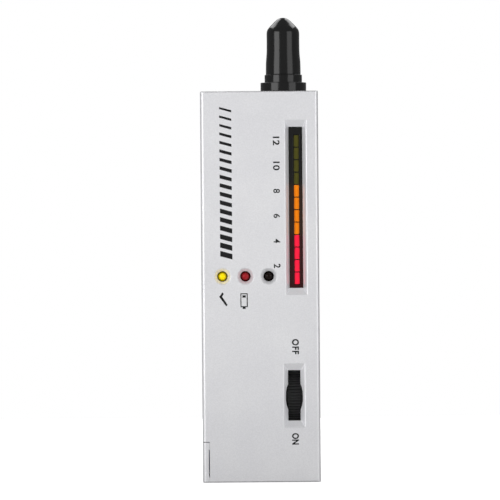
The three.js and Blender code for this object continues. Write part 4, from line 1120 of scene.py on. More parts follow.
def wheel_room(sizes):
    """Cutters for the thumbwheel: its sloped slot, and the wheel's own room in the wall."""
    low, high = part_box("thumbwheel")
    centre = (low + high) / 2
    radius = (high.z - low.z) / 2
    place = (centre.x, centre.z + sizes.slot_rise)
    size = (sizes.slot_width, sizes.slot_length)
    slot = sloped_opening("wheel_slot", place, size, (sizes.slot_side, sizes.slot_end), sizes)
    across = [low.x - sizes.wheel_gap, high.x + sizes.wheel_gap]
    profile = [(radius + sizes.wheel_gap, along) for along in across]
    return [slot, turned("wheel_room", "x", profile, (0, centre.y, centre.z), ROUND)]


def screw_posts(span, radius):
    """Round posts or holes along Y at the case screws."""
    profile = [(radius, depth) for depth in span]
    posts = []
    for i in range(CASE_SCREWS):
        centre = middle(f"case_screw_{i + 1}")
        posts.append(turned("screw_post", "y", profile, (centre.x, 0, centre.z), SMALL_ROUND))
    return posts


def battery_ribs(sizes, span):
    """Ribs beside the battery, below and above the wheel."""
    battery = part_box("battery")
    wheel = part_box("thumbwheel")
    left = battery[1].x + sizes.wheel_gap
    right = left + sizes.rib
    low = sizes.end_wall - sizes.seat_gap
    return [
        block("low_rib", (left, span[0], low), (right, span[1], wheel[0].z - sizes.wheel_gap)),
        block("high_rib", (left, span[0], wheel[1].z + sizes.wheel_gap), (right, span[1], battery[1].z)),
    ]


def ledge(sizes, door, wall, inwards):
    """The ledge along one wall that the door's plate runs on."""
    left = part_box("front_shell")[0].x + door.strip
    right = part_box("battery_door")[1].x + 2 * door.running_gap
    edges = sorted((wall - inwards * sizes.seat_gap, wall + inwards * door.ledge_width))
    return block("ledge", (left, edges[0], 0), (right, edges[1], door.ledge_height))


def collar_hole(sizes):
    """A cutter for the hole in the top wall that holds the probe's collar."""
    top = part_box("front_shell")[1].z
    profile = [(sizes.neck_radius + sizes.collar_gap, z) for z in (top - 2 * sizes.end_wall, top + OVERRUN)]
    centre = middle("probe_collar")
    return turned("collar_hole", "z", profile, (centre.x, 0, 0), ROUND)


class MakeFrontShell(bpy.types.Operator):
    """The front half of the case, with the bar's window, the lamps' holes and the wheel's slot"""

    bl_idname = "tester.make_front_shell"
    bl_label = "Front shell"

    def execute(self, context):
        sizes = context.scene.tester_case
        door = context.scene.tester_door
        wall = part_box("front_shell")[0].y + sizes.front_wall
        inner = [wall - sizes.seat_gap, -sizes.seat_gap]
        bar_low, bar_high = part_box("bar_display_housing")
        bar = (bar_low + bar_high) / 2
        window = (sizes.window_width, bar_high.z - bar_low.z - 2 * sizes.window_lap)
        slopes = (sizes.window_side, sizes.window_end)
        base = shaped(
            "front_shell_walls",
            case_skin("front_skin", sizes, face_depth(sizes), 0, True),
            cut=[case_room(sizes), *door_room(sizes, door)],
        )
        mesh = shaped(
            "front_shell_finished",
            base,
            join=[
                *battery_ribs(sizes, inner),
                *screw_posts(inner, sizes.boss_radius),
                ledge(sizes, door, wall, 1),
            ],
            cut=[
                sloped_opening("window", (bar.x, bar.z), window, slopes, sizes),
                *wheel_room(sizes),
                *[lamp_opening(node, sizes) for node in LAMPS],
                collar_hole(sizes),
            ],
        )
        material = painted_abs(context.scene.tester_finishes)
        add_piece("front_shell_finished", shaded(mesh), material, "case", ["front_shell"])
        return {"FINISHED"}


class MakeRearShell(bpy.types.Operator):
    """The back half of the case, with its screw recesses, sound holes and the touch plate's recess"""

    bl_idname = "tester.make_rear_shell"
    bl_label = "Rear shell"

    def execute(self, context):
        sizes = context.scene.tester_case
        door = context.scene.tester_door
        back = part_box("rear_shell")[1].y
        wall = back - sizes.rear_wall
        inner = [sizes.seat_gap, wall + sizes.seat_gap]
        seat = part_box("case_screw_1")[1].y - sizes.screw_seat
        recess = [seat - sizes.recess_floor, wall + sizes.seat_gap]
        base = shaped(
            "rear_shell_walls",
            case_skin("rear_skin", sizes, 0, back, True),
            cut=[case_room(sizes), *door_room(sizes, door)],
        )
        holes = {
            "Holes": sizes.sound_holes,
            "Ring radius": sizes.sound_ring,
            "Hole radius": sizes.sound_hole,
            "Length": 4 * sizes.rear_wall,
            "Centre": (middle("buzzer").x, back, middle("buzzer").z),
            "Material": None,
        }
        mesh = shaped(
            "rear_shell_finished",
            base,
            join=[
                *battery_ribs(sizes, inner),
                *screw_posts(inner, sizes.boss_radius),
                *screw_posts(recess, sizes.screw_hole + sizes.recess_wall),
                ledge(sizes, door, wall, -1),
            ],
            cut=[
                *screw_posts([seat, back + OVERRUN], sizes.screw_hole),
                plate_recess(sizes, back),
                grown("sound_grille", holes_tree(), holes),
                collar_hole(sizes),
            ],
        )
        material = bpy.data.materials["painted_ABS"]
        finished = shaded(mesh, sizes.soft_edge)
        add_piece("rear_shell_finished", finished, material, "case", ["rear_shell"])
        return {"FINISHED"}


def plate_recess(sizes, back):
    """A cutter for the shallow recess that the touch plate lies in."""
    low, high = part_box("touch_plate")
    size = (high.x - low.x + 2 * sizes.seat_gap, high.z - low.z + 2 * sizes.seat_gap)
    centre = ((low.x + high.x) / 2, (low.z + high.z) / 2)
    profile = [(0, low.y - sizes.seat_gap), (0, back + OVERRUN)]
    corner = sizes.plate_corner + sizes.seat_gap
    return stacked("plate_recess", centre, size, corner, profile, PLATE_STEPS)


class MakeDoor(bpy.types.Operator):
    """The sliding battery door: the case's lower left corner with the plate under the battery"""

    bl_idname = "tester.make_door"
    bl_label = "Battery door"

    def execute(self, context):
        sizes = context.scene.tester_case
        door = context.scene.tester_door
        low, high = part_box("battery_door")
        front = low.y + sizes.front_wall
        back = high.y - sizes.rear_wall
        strip = low.x + door.strip - door.side_seam
        top = door.height - door.seam
        skin = case_skin("door_skin", sizes, face_depth(sizes), high.y, False)
        corner_room = block("corner_room", (low.x, low.y, 0), (strip, high.y, top))
        corner = shaped("door_corner", skin, keep=[corner_room])
        plate_top = door.ledge_height + door.running_gap + door.flange
        inset = door.ledge_width + door.running_gap
        plate_left = low.x + sizes.side_wall - sizes.seat_gap
        middle_low = (plate_left, front + inset, low.z)
        flange_low = (plate_left, front + sizes.seat_gap, plate_top - door.flange)
        nail_low = (strip - door.nail_gap, low.y - OVERRUN, door.nail_bottom)
        nail_high = (strip + OVERRUN, front, door.height - door.nail_top)
        hollow_low = (low.x + sizes.side_wall, front, plate_top)
        mesh = shaped(
            "battery_door_finished",
            shaped(
                "door_hollow",
                corner,
                cut=[
                    block("hollow", hollow_low, (strip + OVERRUN, back, door.height + OVERRUN)),
                    block("nail_gap", nail_low, nail_high),
                ],
            ),
            join=[
                block("plate_middle", middle_low, (high.x, back - inset, plate_top)),
                block("plate_flanges", flange_low, (high.x, back - sizes.seat_gap, plate_top)),
            ],
        )
        material = bpy.data.materials["painted_ABS"]
        finished = shaded(mesh, door.soft_edge)
        add_piece("battery_door_finished", finished, material, "door", ["battery_door"])
        return {"FINISHED"}


class MakeLamps(bpy.types.Operator):
    """The three domed lamps: one lit and two unlit"""

    bl_idname = "tester.make_lamps"
    bl_label = "Lamps"

    def execute(self, context):
        sizes = context.scene.tester_lights
        looks = (
            # the rim colours are painted shade at the domes' edges, and the lit lamp's middle holds its
            # painted glow
            ("lit_yellow_epoxy", "yellow_lens", "484000", 0.1),
            ("unlit_red_epoxy", "red_lens", "220506", 0.0),
            ("unlit_dark_epoxy", "dark_lens", "050202", 0.0),
        )
        for node, (name, slot, rim, glow) in zip(LAMPS, looks):
            mesh = self.lamp(node, sizes)
            core = getattr(context.scene.tester_finishes, slot)
            material = epoxy_lamp(name, middle(node), sizes.lamp_radius, core, rim, glow)
            add_piece(f"{node}_finished", shaded(mesh), material, "case", [node])
        return {"FINISHED"}

    def lamp(self, node, sizes):
        """A dome on its flange, with two legs."""
        low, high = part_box(node)
        centre = (low + high) / 2
        radius = sizes.lamp_radius
        flange = low.y + sizes.flange_place
        base = low.y + sizes.lamp_length
        dome = quarter_turn(DOME_STEPS)
        profile = [(radius * math.sin(a), low.y + radius * (1 - math.cos(a))) for a in dome]
        foot = softened([profile[-1], (radius, flange), (sizes.flange_radius, flange)], sizes.lamp_edge)
        profile += [tuple(point) for point in foot[1:]]
        profile.append((sizes.flange_radius, base))
        body = turned(node, "y", profile, (centre.x, 0, centre.z), SMALL_ROUND)
        leg = [(sizes.leg_radius, depth) for depth in (base - sizes.leg_lap, high.y)]
        legs = []
        for side in (-1, 1):
            place = (centre.x, 0, centre.z + side * sizes.leg_pitch / 2)
            legs.append(turned("lamp_leg", "y", leg, place, LEG_SIDES))
        return shaped(node, body, join=legs)


class MakeBar(bpy.types.Operator):
    """The bar display: its black body and its three groups of four light segments"""

    bl_idname = "tester.make_bar"
    bl_label = "Bar display"

    def execute(self, context):
        sizes = context.scene.tester_lights
        low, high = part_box("bar_display_housing")
        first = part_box("bar_segment_12")
        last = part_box("bar_segment_01")
        gap = sizes.segment_gap
        slot_low = (first[0].x - gap, low.y - OVERRUN, first[0].z - gap)
        slot_high = (first[1].x + gap, first[1].y, last[1].z + gap)
        body = shaped("bar_body", block("bar_body", low, high), cut=[block("bar_slot", slot_low, slot_high)])
        edges = (last[1].z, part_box("bar_segment_05")[1].z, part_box("bar_segment_09")[1].z, first[0].z)
        # the body's colour holds a painted glow beside the lit segments
        material = lit_housing(edges)
        finished = shaded(body, sizes.soft_edge)
        add_piece("bar_body_finished", finished, material, "case", ["bar_display_housing"])
        size = first[1] - first[0]
        front = first[0].y
        edge = sizes.segment_edge
        profile = [(-edge, front), (-edge / 3, front + edge / 3), (0, front + edge), (0, first[1].y)]
        segment = stacked("segment", (0, 0), (size.x, size.z), sizes.segment_corner, profile, RIM_STEPS)
        copy = new_object(shaded(segment))
        step = middle("bar_segment_11").z - middle("bar_segment_12").z
        looks = (
            # each edge colour is painted shade, and the lit rows' middle colours hold their painted glow
            ("red", 12, "lit_red_epoxy", "A80E26", 0.1),
            ("orange", 8, "lit_orange_epoxy", "9A4E02", 0.1),
            ("olive", 4, "unlit_olive_epoxy", "2A2808", 0.0),
        )
        tree = row_tree()
        for colour, lowest, name, rim, glow in looks:
            nodes = [f"bar_segment_{lowest - i:02d}" for i in range(GROUP_SEGMENTS)]
            slot = f"{colour}_segment"
            core = getattr(context.scene.tester_finishes, slot)
            start = middle(nodes[0])
            values = {
                "Copy": copy,
                "First": (start.x, 0, start.z),
                "Step": (0, 0, step),
                "Count": len(nodes),
                "Material": epoxy_bar(name, start, size.x, core, rim, glow),
            }
            mesh = grown(f"{colour}_segments", tree, values)
            add_piece(f"{colour}_segments", mesh, None, "case", nodes)
        bpy.data.objects.remove(copy)
        return {"FINISHED"}


RIDGE_SECTION = (  # out, as a share of a ridge's height, and across, as a share of its width
    (-0.1, 0.5),
    (0.55, 0.46),
    (0.9, 0.28),
    (1, 0),
    (0.9, -0.28),
    (0.55, -0.46),
    (-0.1, -0.5),
)
RIDGE_RUN = (  # along, as a share of half the wheel's width, and how high the ridge is there
    (-0.88, 0.3),
    (-0.74, 1),
    (0.74, 1),
    (0.88, 0.3),
)


class MakeWheel(bpy.types.Operator):
    """The knurled thumbwheel"""

    bl_idname = "tester.make_wheel"
    bl_label = "Thumbwheel"

    def execute(self, context):
        sizes = context.scene.tester_wheel
        finishes = context.scene.tester_finishes
        low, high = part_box("thumbwheel")
        centre = (low + high) / 2
        rim = (high.z - low.z) / 2 - sizes.tooth_height
        half = (high.x - low.x) / 2
        rings = []
        for along, share in RIDGE_RUN:
            ring = []
            for out, across in RIDGE_SECTION:
                height = max(out, 0) * share + min(out, 0)
                ring.append((height * sizes.tooth_height, across * sizes.tooth_width, along * half))
            rings.append(ring)
        tooth = new_object(shaded(loft("tooth", rings)))
        values = {
            "Tooth": tooth,
            "Teeth": sizes.teeth,
            "Rim radius": rim,
            "Bore radius": sizes.bore,
            "Width": high.x - low.x,
            "Edge": sizes.edge,
            "Centre": centre,
            # the grooves hold painted shade
            "Material": rubbed_black_nylon(finishes, centre, rim, rim + sizes.tooth_height),
        }
        mesh = grown("thumbwheel_finished", knurl_tree(), values)
        bpy.data.objects.remove(tooth)
        add_piece("thumbwheel_finished", shaded(mesh), None, "wheel", ["thumbwheel"])
        return {"FINISHED"}


CAP_SHARES = (  # shares of the cap's radius and of its height, up its outside
    (1, 0),
    (0.99, 0.2),
    (0.955, 0.34),
    (0.941, 0.428),
    (0.936, 0.6),
    (0.938, 0.7),
    (0.93, 0.745),
    (0.9, 0.78),
    (0.84, 0.81),
    (0.77, 0.836),
    (0.64, 0.878),
    (0.485, 0.927),
    (0.33, 0.968),
    (0.17, 0.992),
    (0, 1),
)


class MakeProbe(bpy.types.Operator):
    """The probe: its collar, the push-on cap, the sleeve and the tip"""

    bl_idname = "tester.make_probe"
    bl_label = "Probe and cap"

    def execute(self, context):
        sizes = context.scene.tester_probe
        black = gloss_black_abs(context.scene.tester_finishes)
        axis = (middle("probe_collar").x, 0, 0)
        self.make_collar(context.scene.tester_case, sizes, black, axis)
        self.make_cap(sizes, black, axis)
        self.make_sleeve(sizes, axis)
        self.make_tip(sizes, axis)
        self.make_spring(sizes, axis)
        return {"FINISHED"}

    def make_collar(self, case, sizes, material, axis):
        """The collar, turned in one piece with its bore."""
        low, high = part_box("probe_collar")
        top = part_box("front_shell")[1].z
        flange = (high.x - low.x) / 2
        inside = top - case.end_wall - case.seat_gap
        inner_low = inside - sizes.inner_height
        step = top + sizes.flange_height
        spigot = step + sizes.step_height
        outside = [
            (sizes.collar_bore, low.z),
            (sizes.barrel_radius, low.z),
            (sizes.barrel_radius, inner_low),
            (sizes.inner_radius, inner_low),
            (sizes.inner_radius, inside),
            (case.neck_radius, inside),
            (case.neck_radius, top + case.seat_gap),
            (flange, top + case.seat_gap),
            (flange, step),
            (sizes.step_radius, step),
            (sizes.step_radius, spigot),
            (sizes.spigot_radius, spigot),
            (sizes.spigot_radius, high.z),
            (sizes.collar_bore, high.z),
        ]
        profile = softened(outside, sizes.collar_edge)
        mesh = turned("probe_collar_finished", "z", profile, axis, ROUND, True)
        add_piece("probe_collar_finished", shaded(mesh), material, "case", ["probe_collar"])

    def make_cap(self, sizes, material, axis):
        """The cap, with its smooth outside and the bore that fits over the spigot and the probe."""
        low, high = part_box("probe_cap")
        radius = (high.x - low.x) / 2
        height = high.z - low.z
        outline = curved([(share * radius, low.z + rise * height) for share, rise in CAP_SHARES])
        outside = [(max(point.x, 0), point.y) for point in outline]
        outside[0] = (radius, low.z + sizes.cap_edge)
        socket = sizes.spigot_radius + sizes.cap_gap
        socket_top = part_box("probe_collar")[1].z + sizes.cap_top_gap
        bore_top = high.z - sizes.cap_crown
        inside = [
            (radius - sizes.cap_edge, low.z),
            (socket + sizes.cap_mouth, low.z),
            (socket, low.z + sizes.cap_mouth),
            (socket, socket_top),
            (sizes.cap_bore, socket_top),
            (sizes.cap_bore, bore_top),
            (0, bore_top),
        ]
        mesh = turned("probe_cap_finished", "z", outside[::-1] + inside, axis, ROUND)
        add_piece("probe_cap_finished", shaded(mesh), material, "cap", ["probe_cap"])

    def make_sleeve(self, sizes, axis):
        """The bright sleeve that the tip slides in."""
        low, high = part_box("probe_sleeve")
        radius = (high.x - low.x) / 2
        nose = high.z - sizes.nose_length
        outside = [
            (sizes.sleeve_bore, low.z),
            (radius, low.z),
            (radius, nose),
            (sizes.nose_radius, high.z),
            (sizes.nose_bore, high.z),
            (sizes.nose_bore, nose),
            (sizes.sleeve_bore, nose),
        ]
        profile = softened(outside, sizes.sleeve_edge)
        mesh = turned("probe_sleeve_finished", "z", profile, axis, SMALL_ROUND, True)
        material = plated("nickel_plated_brass", "DAD6CE", "C6C2BA", 0.18, (1, 1, 8), 0.25)
        add_piece("probe_sleeve_finished", shaded(mesh), material, "case", ["probe_sleeve"])

    def make_tip(self, sizes, axis):
        """The thin copper tip, with its rounded point and the shoulder that keeps it in."""
        low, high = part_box("probe_tip")
        shoulder = (high.x - low.x) / 2
        step = low.z + sizes.tip_shoulder
        nose = high.z - sizes.tip_point
        profile = [(0, low.z), (shoulder, low.z), (shoulder, step), (sizes.tip_radius, step)]
        for turn in quarter_turn(POINT_STEPS)[:-1]:
            profile.append((sizes.tip_radius * math.cos(turn), nose + sizes.tip_point * math.sin(turn)))
        profile.append((0, high.z))
        mesh = turned("probe_tip_finished", "z", profile, axis, SMALL_ROUND)
        material = plated("polished_copper", "D08A5C", "B8713F", 0.2, (1, 1, 6), 0.2)
        add_piece("probe_tip_finished", shaded(mesh), material, "tip", ["probe_tip"])

    def make_spring(self, sizes, axis):
        """The spring behind the tip's heater."""
        low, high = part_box("probe_spring")
        wire = sizes.spring_wire / 2
        values = {
            "Turns": sizes.spring_turns,
            "Radius": (high.x - low.x) / 2 - wire,
            "Height": high.z - low.z - 2 * wire,
            "Wire radius": wire,
            "Foot": (axis[0], 0, low.z + wire),
            "Material": plated("drawn_spring_steel", "C9CBCC", "A5A8AA", 0.22, (1, 1, 1), 0.15),
        }
        mesh = outward(grown("probe_spring_finished", spring_tree(), values))
        piece = add_piece("probe_spring_finished", shaded(mesh), None, "case", ["probe_spring"])
        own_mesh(piece)


class MakeBack(bpy.types.Operator):
    """The touch plate on the back, and the cross-head screws of the case and of the board"""

    bl_idname = "tester.make_back"
    bl_label = "Touch plate and screws"

    def execute(self, context):
        sizes = context.scene.tester_case
        low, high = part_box("touch_plate")
        profile = [(0, low.y)]
        for turn in quarter_turn(RIM_STEPS):
            inwards = sizes.plate_edge * (1 - math.cos(turn))
            profile.append((-inwards, high.y - sizes.plate_edge * (1 - math.sin(turn))))
        size = (high.x - low.x, high.z - low.z)
        centre = (middle("touch_plate").x, middle("touch_plate").z)
        mesh = stacked("touch_plate_finished", centre, size, sizes.plate_corner, profile, PLATE_STEPS)
        brushed = plated("brushed_nickel_silver", "CFCCC5", "B9B6AF", 0.3, (0.04, 1, 1), 0.12)
        add_piece("touch_plate_finished", shaded(mesh), brushed, "case", ["touch_plate"])
        steel = plated("zinc_plated_steel", "B9BCBE", "9A9DA0", 0.3)
        for name, count in (("case_screw", CASE_SCREWS), ("board_screw", BOARD_SCREWS)):
            nodes = [f"{name}_{i + 1}" for i in range(count)]
            self.make_screws(context.scene.tester_screws, f"{name}s", nodes, steel)
        return {"FINISHED"}

    def make_screws(self, shares, name, nodes, material):
        """Copies of one pan-head screw at the places of its nodes, with the heads towards the back."""
        low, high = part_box(nodes[0])
        end = low.y - high.y
        head = (high.x - low.x) / 2
        rise = head * shares.rise
        shank = head * shares.shank
        crown = rise * shares.crown
        profile = [(0, end), (shank * shares.end, end), (shank, end + shank), (shank, -rise)]
        profile += [(head, -rise), (head, -crown)]
        for turn in quarter_turn(EDGE_STEPS)[1:]:
            reach = head * (shares.flat + (1 - shares.flat) * math.cos(turn))
            profile.append((reach, -crown * (1 - math.sin(turn))))
        profile.append((0, 0))
        solid = turned(name, "y", profile, (0, 0, 0), SMALL_ROUND)
        wide = head * shares.cross_length
        thin = head * shares.cross_width
        floor = -rise * shares.cross_depth
        arms = []
        for across, up in ((thin, wide), (wide, thin)):
            arms.append(block("cross", (-across, floor, -up), (across, OVERRUN, up)))
        copy = new_object(shaded(shaped(name, solid, cut=arms)))
        points = bpy.data.meshes.new(name)
        points.from_pydata([(middle(node).x, high.y, middle(node).z) for node in nodes], [], [])
        places = new_object(points)
        mesh = grown(name, places_tree(), {"Copy": copy, "Places": places, "Material": material})
        bpy.data.objects.remove(copy)
        bpy.data.objects.remove(places)
        add_piece(f"{name}_finished", mesh, None, "case", nodes)


WORD_WEIGHT = 0.036  # how much bolder than the built-in font, as a share of the letters' height
NUMBER_WEIGHT = 0.021  # less, because bolder strokes break the loops of 6 and 8
OFF_SPACING = 1.15  # between the letters, as a share of the font's own
ON_SPACING = 1.05
INK_LAP = 1.2  # depth of the ink as a share of its height on the face, so that it reaches into the paint
TICK_OUTLINE = (  # downwards from the tick's start, and to the right
    (-0.3, 1.2),
    (0.15, 1.75),
    (0.95, 1.1),
    (3.3, 3.2),
    (3.75, 2.65),
    (0.95, 0),
)


class MakeMarks(bpy.types.Operator):
    """The printed marks: words at the wheel, numbers beside the bar, signs under two lamps and a scale"""

    bl_idname = "tester.make_marks"
    bl_label = "Printed marks"

    def execute(self, context):
        marks = context.scene.tester_marks
        ink = printed_ink(context.scene.tester_finishes)
        shapes = {
            "switch_words": self.switch_words(marks),
            "bar_numbers": self.bar_numbers(marks),
            "lamp_signs": [*self.tick_sign(marks), *self.battery_sign(marks)],
            "level_scale": self.level_scale(marks),
        }
        for name, flats in shapes.items():
            mesh = self.printed(name, flats, context.scene.tester_case.ink)
            add_piece(name, shaded(mesh), ink, "case", ())
        return {"FINISHED"}

    def words(self, text, centre_x, span, height, weight, spacing=1.0):
        """Flat letters that read downwards and fill a span from its top to its end."""
        curve = bpy.data.curves.new(text, "FONT")
        curve.body = text
        curve.size = height
        curve.space_character = spacing
        curve.offset = weight * height
        made = new_object(curve)
        mesh = evaluated(made)
        bpy.data.objects.remove(made)
        along = [vertex.co.x for vertex in mesh.vertices]
        up = [vertex.co.y for vertex in mesh.vertices]
        squeeze = (span[0] - span[1]) / (max(along) - min(along))
        stretch = height / (max(up) - min(up))
        for vertex, reach, rise in zip(mesh.vertices, along, up):
            across = centre_x + (rise - min(up)) * stretch - height / 2
            vertex.co = (across, 0, span[0] - (reach - min(along)) * squeeze)
        return mesh

    def switch_words(self, marks):
        """OFF above the wheel and ON below it."""
        wheel = middle("thumbwheel").x
        height = marks.word_height
        off_span = (marks.off_top, marks.off_end)
        on_span = (marks.on_top, marks.on_end)
        return [
            self.words("OFF", wheel + marks.off_shift, off_span, height, WORD_WEIGHT, OFF_SPACING),
            self.words("ON", wheel + marks.on_shift, on_span, height, WORD_WEIGHT, ON_SPACING),
        ]

    def bar_numbers(self, marks):
        """Even numbers beside every second segment, counted from the lowest."""
        numbers = []
        centre_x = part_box("bar_display_housing")[0].x - marks.number_shift
        for level in range(2, BAR_SEGMENTS + 1, 2):
            place = middle(f"bar_segment_{BAR_SEGMENTS + 1 - level:02d}")
            half = marks.one_digit if level < 10 else marks.two_digits
            span = (place.z + half, place.z - half)
            numbers.append(self.words(str(level), centre_x, span, marks.number_height, NUMBER_WEIGHT))
        return numbers

    def tick_sign(self, marks):
        """A tick under the first lamp, which shows that the tester is ready."""
        lamp = middle("ready_led")
        left = lamp.x - marks.tick_shift
        top = lamp.z - marks.sign_drop
        points = []
        for down, right in TICK_OUTLINE:
            points.append((left + right * marks.tick_across, 0, top - down * marks.tick_along))
        return [flat_shape("tick", points)]

    def battery_sign(self, marks):
        """The outline of a battery with one bar left in it, under the second lamp."""
        lamp = middle("low_battery_led")
        left = lamp.x - marks.battery_shift
        top = lamp.z - marks.sign_drop
        line = marks.battery_line
        width = marks.battery_width
        height = marks.battery_height
        inset = marks.terminal_inset
        boxes = [
            ((0, 0), (width, line)),
            ((0, height - line), (width, height)),
            ((0, line), (line, height - line)),
            ((width - line, line), (width, height - line)),
            ((inset, height), (width - inset, height + marks.terminal)),
            ((line * 2, line * 2), (width - line * 2, line * 2 + marks.charge)),
        ]
        return [flat_box("battery_sign", left, top, low, high) for low, high in boxes]

    def level_scale(self, marks):
        """A column of slanted bars that grow thicker downwards."""
        low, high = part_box("front_shell")
        left = low.x + marks.scale_left
        right = left + marks.scale_width
        top = high.z - marks.scale_drop
        bars = []
        for i in range(marks.scale_bars):
            start = top - i * marks.scale_pitch
            end = start - marks.scale_slant
            thick = marks.thin_bar + marks.bar_growth * i / (marks.scale_bars - 1)
            points = [(left, 0, start), (right, 0, end), (right, 0, end - thick), (left, 0, start - thick)]
            bars.append(flat_shape("bar", points))
        return bars

    def printed(self, name, flats, height):
        """Flat shapes joined and raised into one thin layer of ink on the face."""
        work = bmesh.new()
        for flat in flats:
            work.from_mesh(flat)
        bmesh.ops.remove_doubles(work, verts=work.verts, dist=10 * SAME_POINT)
        sheet = list(work.faces)
        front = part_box("front_shell")[0].y
        for vertex in work.verts:
            vertex.co.y = front
        raised = bmesh.ops.extrude_face_region(work, geom=sheet)
        for item in raised["geom"]:
            if isinstance(item, bmesh.types.BMVert):
                item.co.y = front + height * INK_LAP
        bmesh.ops.recalc_face_normals(work, faces=work.faces)
        mesh = bpy.data.meshes.new(name)
        work.to_mesh(mesh)
        work.free()
        return mesh


def flat_shape(name, points):
    """One flat face through points."""
    mesh = bpy.data.meshes.new(name)
    mesh.from_pydata(points, [], [tuple(range(len(points)))])
    return mesh


def flat_box(name, left, top, low, high):
    """One flat rectangle of a sign that reads downwards, from the sign's upper left corner."""
    return flat_shape(
        name,
        [
            (left + low[0], 0, top - low[1]),
            (left + high[0], 0, top - low[1]),
            (left + high[0], 0, top - high[1]),
            (left + low[0], 0, top - high[1]),
        ],
    )


class FinishInside(bpy.types.Operator):
    """Finishes for the pieces inside that keep the frame's own shapes"""

    bl_idname = "tester.finish_inside"
    bl_label = "Inside finishes"

    def execute(self, context):
        black_nylon = satin_black_nylon(context.scene.tester_finishes)
        nickel = bpy.data.materials["nickel_plated_brass"]
        steel = bpy.data.materials["zinc_plated_steel"]
        resin = moulded("moulded_epoxy_chip", "2A2C2E", "1C1D1F", 0.6, 0.25, 0.012)
        sleeve = moulded("shrink_sleeve_PET", "30457A", "263763", 0.35, 2.0, 0.01)
        blue = moulded("blue_polyester_trimmer", "2F66B4", "275898", 0.42, 0.5, 0.008)
        alumina = moulded("fired_alumina", "F0EBE0", "DDD6C8", 0.65, 0.3, 0.015, 1.7)
        ptfe = moulded("white_PTFE", "F2F0EA", "E2DFD7", 0.5, 0.6, 0.008, 1.35)
        foam = moulded("polyurethane_foam", "55575A", "35373A", 0.95, 0.5, 0.12)
        red = moulded("red_PVC_cover", "C42424", "A81C1C", 0.42, 1.2, 0.01)
        black = moulded("black_PVC_cover", "1C1C1E", "121213", 0.42, 1.2, 0.01)
        white = moulded("white_PVC_cover", "EAE9E4", "D8D6CF", 0.42, 1.2, 0.01)
        low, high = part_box("resistor_1")
        resistor = banded_resistor((low + high) / 2, high.x - low.x)
        looks = {
            "main_board": circuit_board(),
            "driver_chip": resin,
            "op_amp_chip": resin,
            "transistor": resin,
            "buzzer": black_nylon,
            "wheel_switch": black_nylon,
            "wheel_shaft": nickel,
            "wheel_screw": steel,
            "probe_heater": alumina,
            "probe_end_plug": ptfe,
            "capacitor_1": sleeve,
            "capacitor_2": sleeve,
            "trimmer_1": blue,
            "trimmer_2": blue,
            "battery": sleeve,
            "battery_snap": black,
            "battery_pad": foam,
            "red_lead": red,
            "black_lead": black,
            "probe_lead_1": white,
            "probe_lead_2": white,
            "touch_plate_lead": white,
        }
        looks.update({f"resistor_{i + 1}": resistor for i in range(RESISTORS)})
        for node, material in looks.items():
            thing = frame["nodes"][node]
            for place in thing.material_slots:
                place.link = "OBJECT"
                place.material = material
        return {"FINISHED"}


# Stage


KEY_PLACE = (-0.2, -1.3, 0.07)  # in metres, as all places here
KEY_AIM = (0, 0, 0.125)
CASE_AIM = (0, 0, 0.08)  # about half way up the tester
LEFT = (-0.64, -0.64, 0.17)
RIGHT = (0.65, -0.62, 0.17)
BEHIND = (0, 1.3, 0.45)
ROOM_LIGHT = (0.18, 0.18, 0.182)  # the grey light from all round, already linear
SOFTBOXES = (  # name, place, aim, size, radiance, whether it lights gloss, whether it lights matt surfaces
    ("left_sheen", LEFT, CASE_AIM, (0.6, 0.6), 2.25, True, False),
    ("left_fill", LEFT, CASE_AIM, (0.66, 0.6), 0.6, False, True),
    ("right_softbox", RIGHT, CASE_AIM, (0.58, 0.6), 1.2, True, True),
    ("rear_fill", BEHIND, CASE_AIM, (0.5, 0.5), 11, False, True),
    ("high_softbox", (-0.34, 0.68, 0.74), (-0.34, 0.68, 0), (0.4, 0.9), 2.5, True, True),
    ("high_softbox", (0.34, 0.68, 0.74), (0.34, 0.68, 0), (0.4, 0.9), 2.5, True, True),
)


def add_lamp(light, place, aim, gloss, matt):
    """Puts a lamp at a place, aimed at another. It lights gloss, or matt surfaces, or both."""
    made = new_object(light)
    made.location = place
    made.rotation_mode = "QUATERNION"
    made.rotation_quaternion = (Vector(place) - Vector(aim)).to_track_quat("Z", "Y")
    made.visible_camera = False
    made.visible_glossy = gloss
    made.visible_diffuse = matt


def add_softbox(name, place, aim, size, radiance, gloss, matt):
    """A soft rectangular lamp."""
    light = bpy.data.lights.new(name, "AREA")
    light.shape = "RECTANGLE"
    light.size, light.size_y = size
    light.energy = radiance * math.pi * size[0] * size[1]
    add_lamp(light, place, aim, gloss, matt)


def add_key(stage):
    """The main lamp, beside the camera. Its soft beam is centred on the top of the case, so the face darkens
    downwards."""
    light = bpy.data.lights.new("key", "SPOT")
    light.energy = stage.key_power
    light.shadow_soft_size = stage.key_radius
    light.spot_size = stage.key_beam
    light.spot_blend = 1.0
    add_lamp(light, KEY_PLACE, KEY_AIM, False, True)


def seen_directly(tree):
    """One for what the camera sees, also through clear pieces, and nothing for other light."""
    path = add_node(tree, "ShaderNodeLightPath").outputs
    rays = {0: path["Is Camera Ray"], 1: path["Is Transmission Ray"]}
    return add_node(tree, "ShaderNodeMath", {"operation": "MAXIMUM"}, rays).outputs[0]


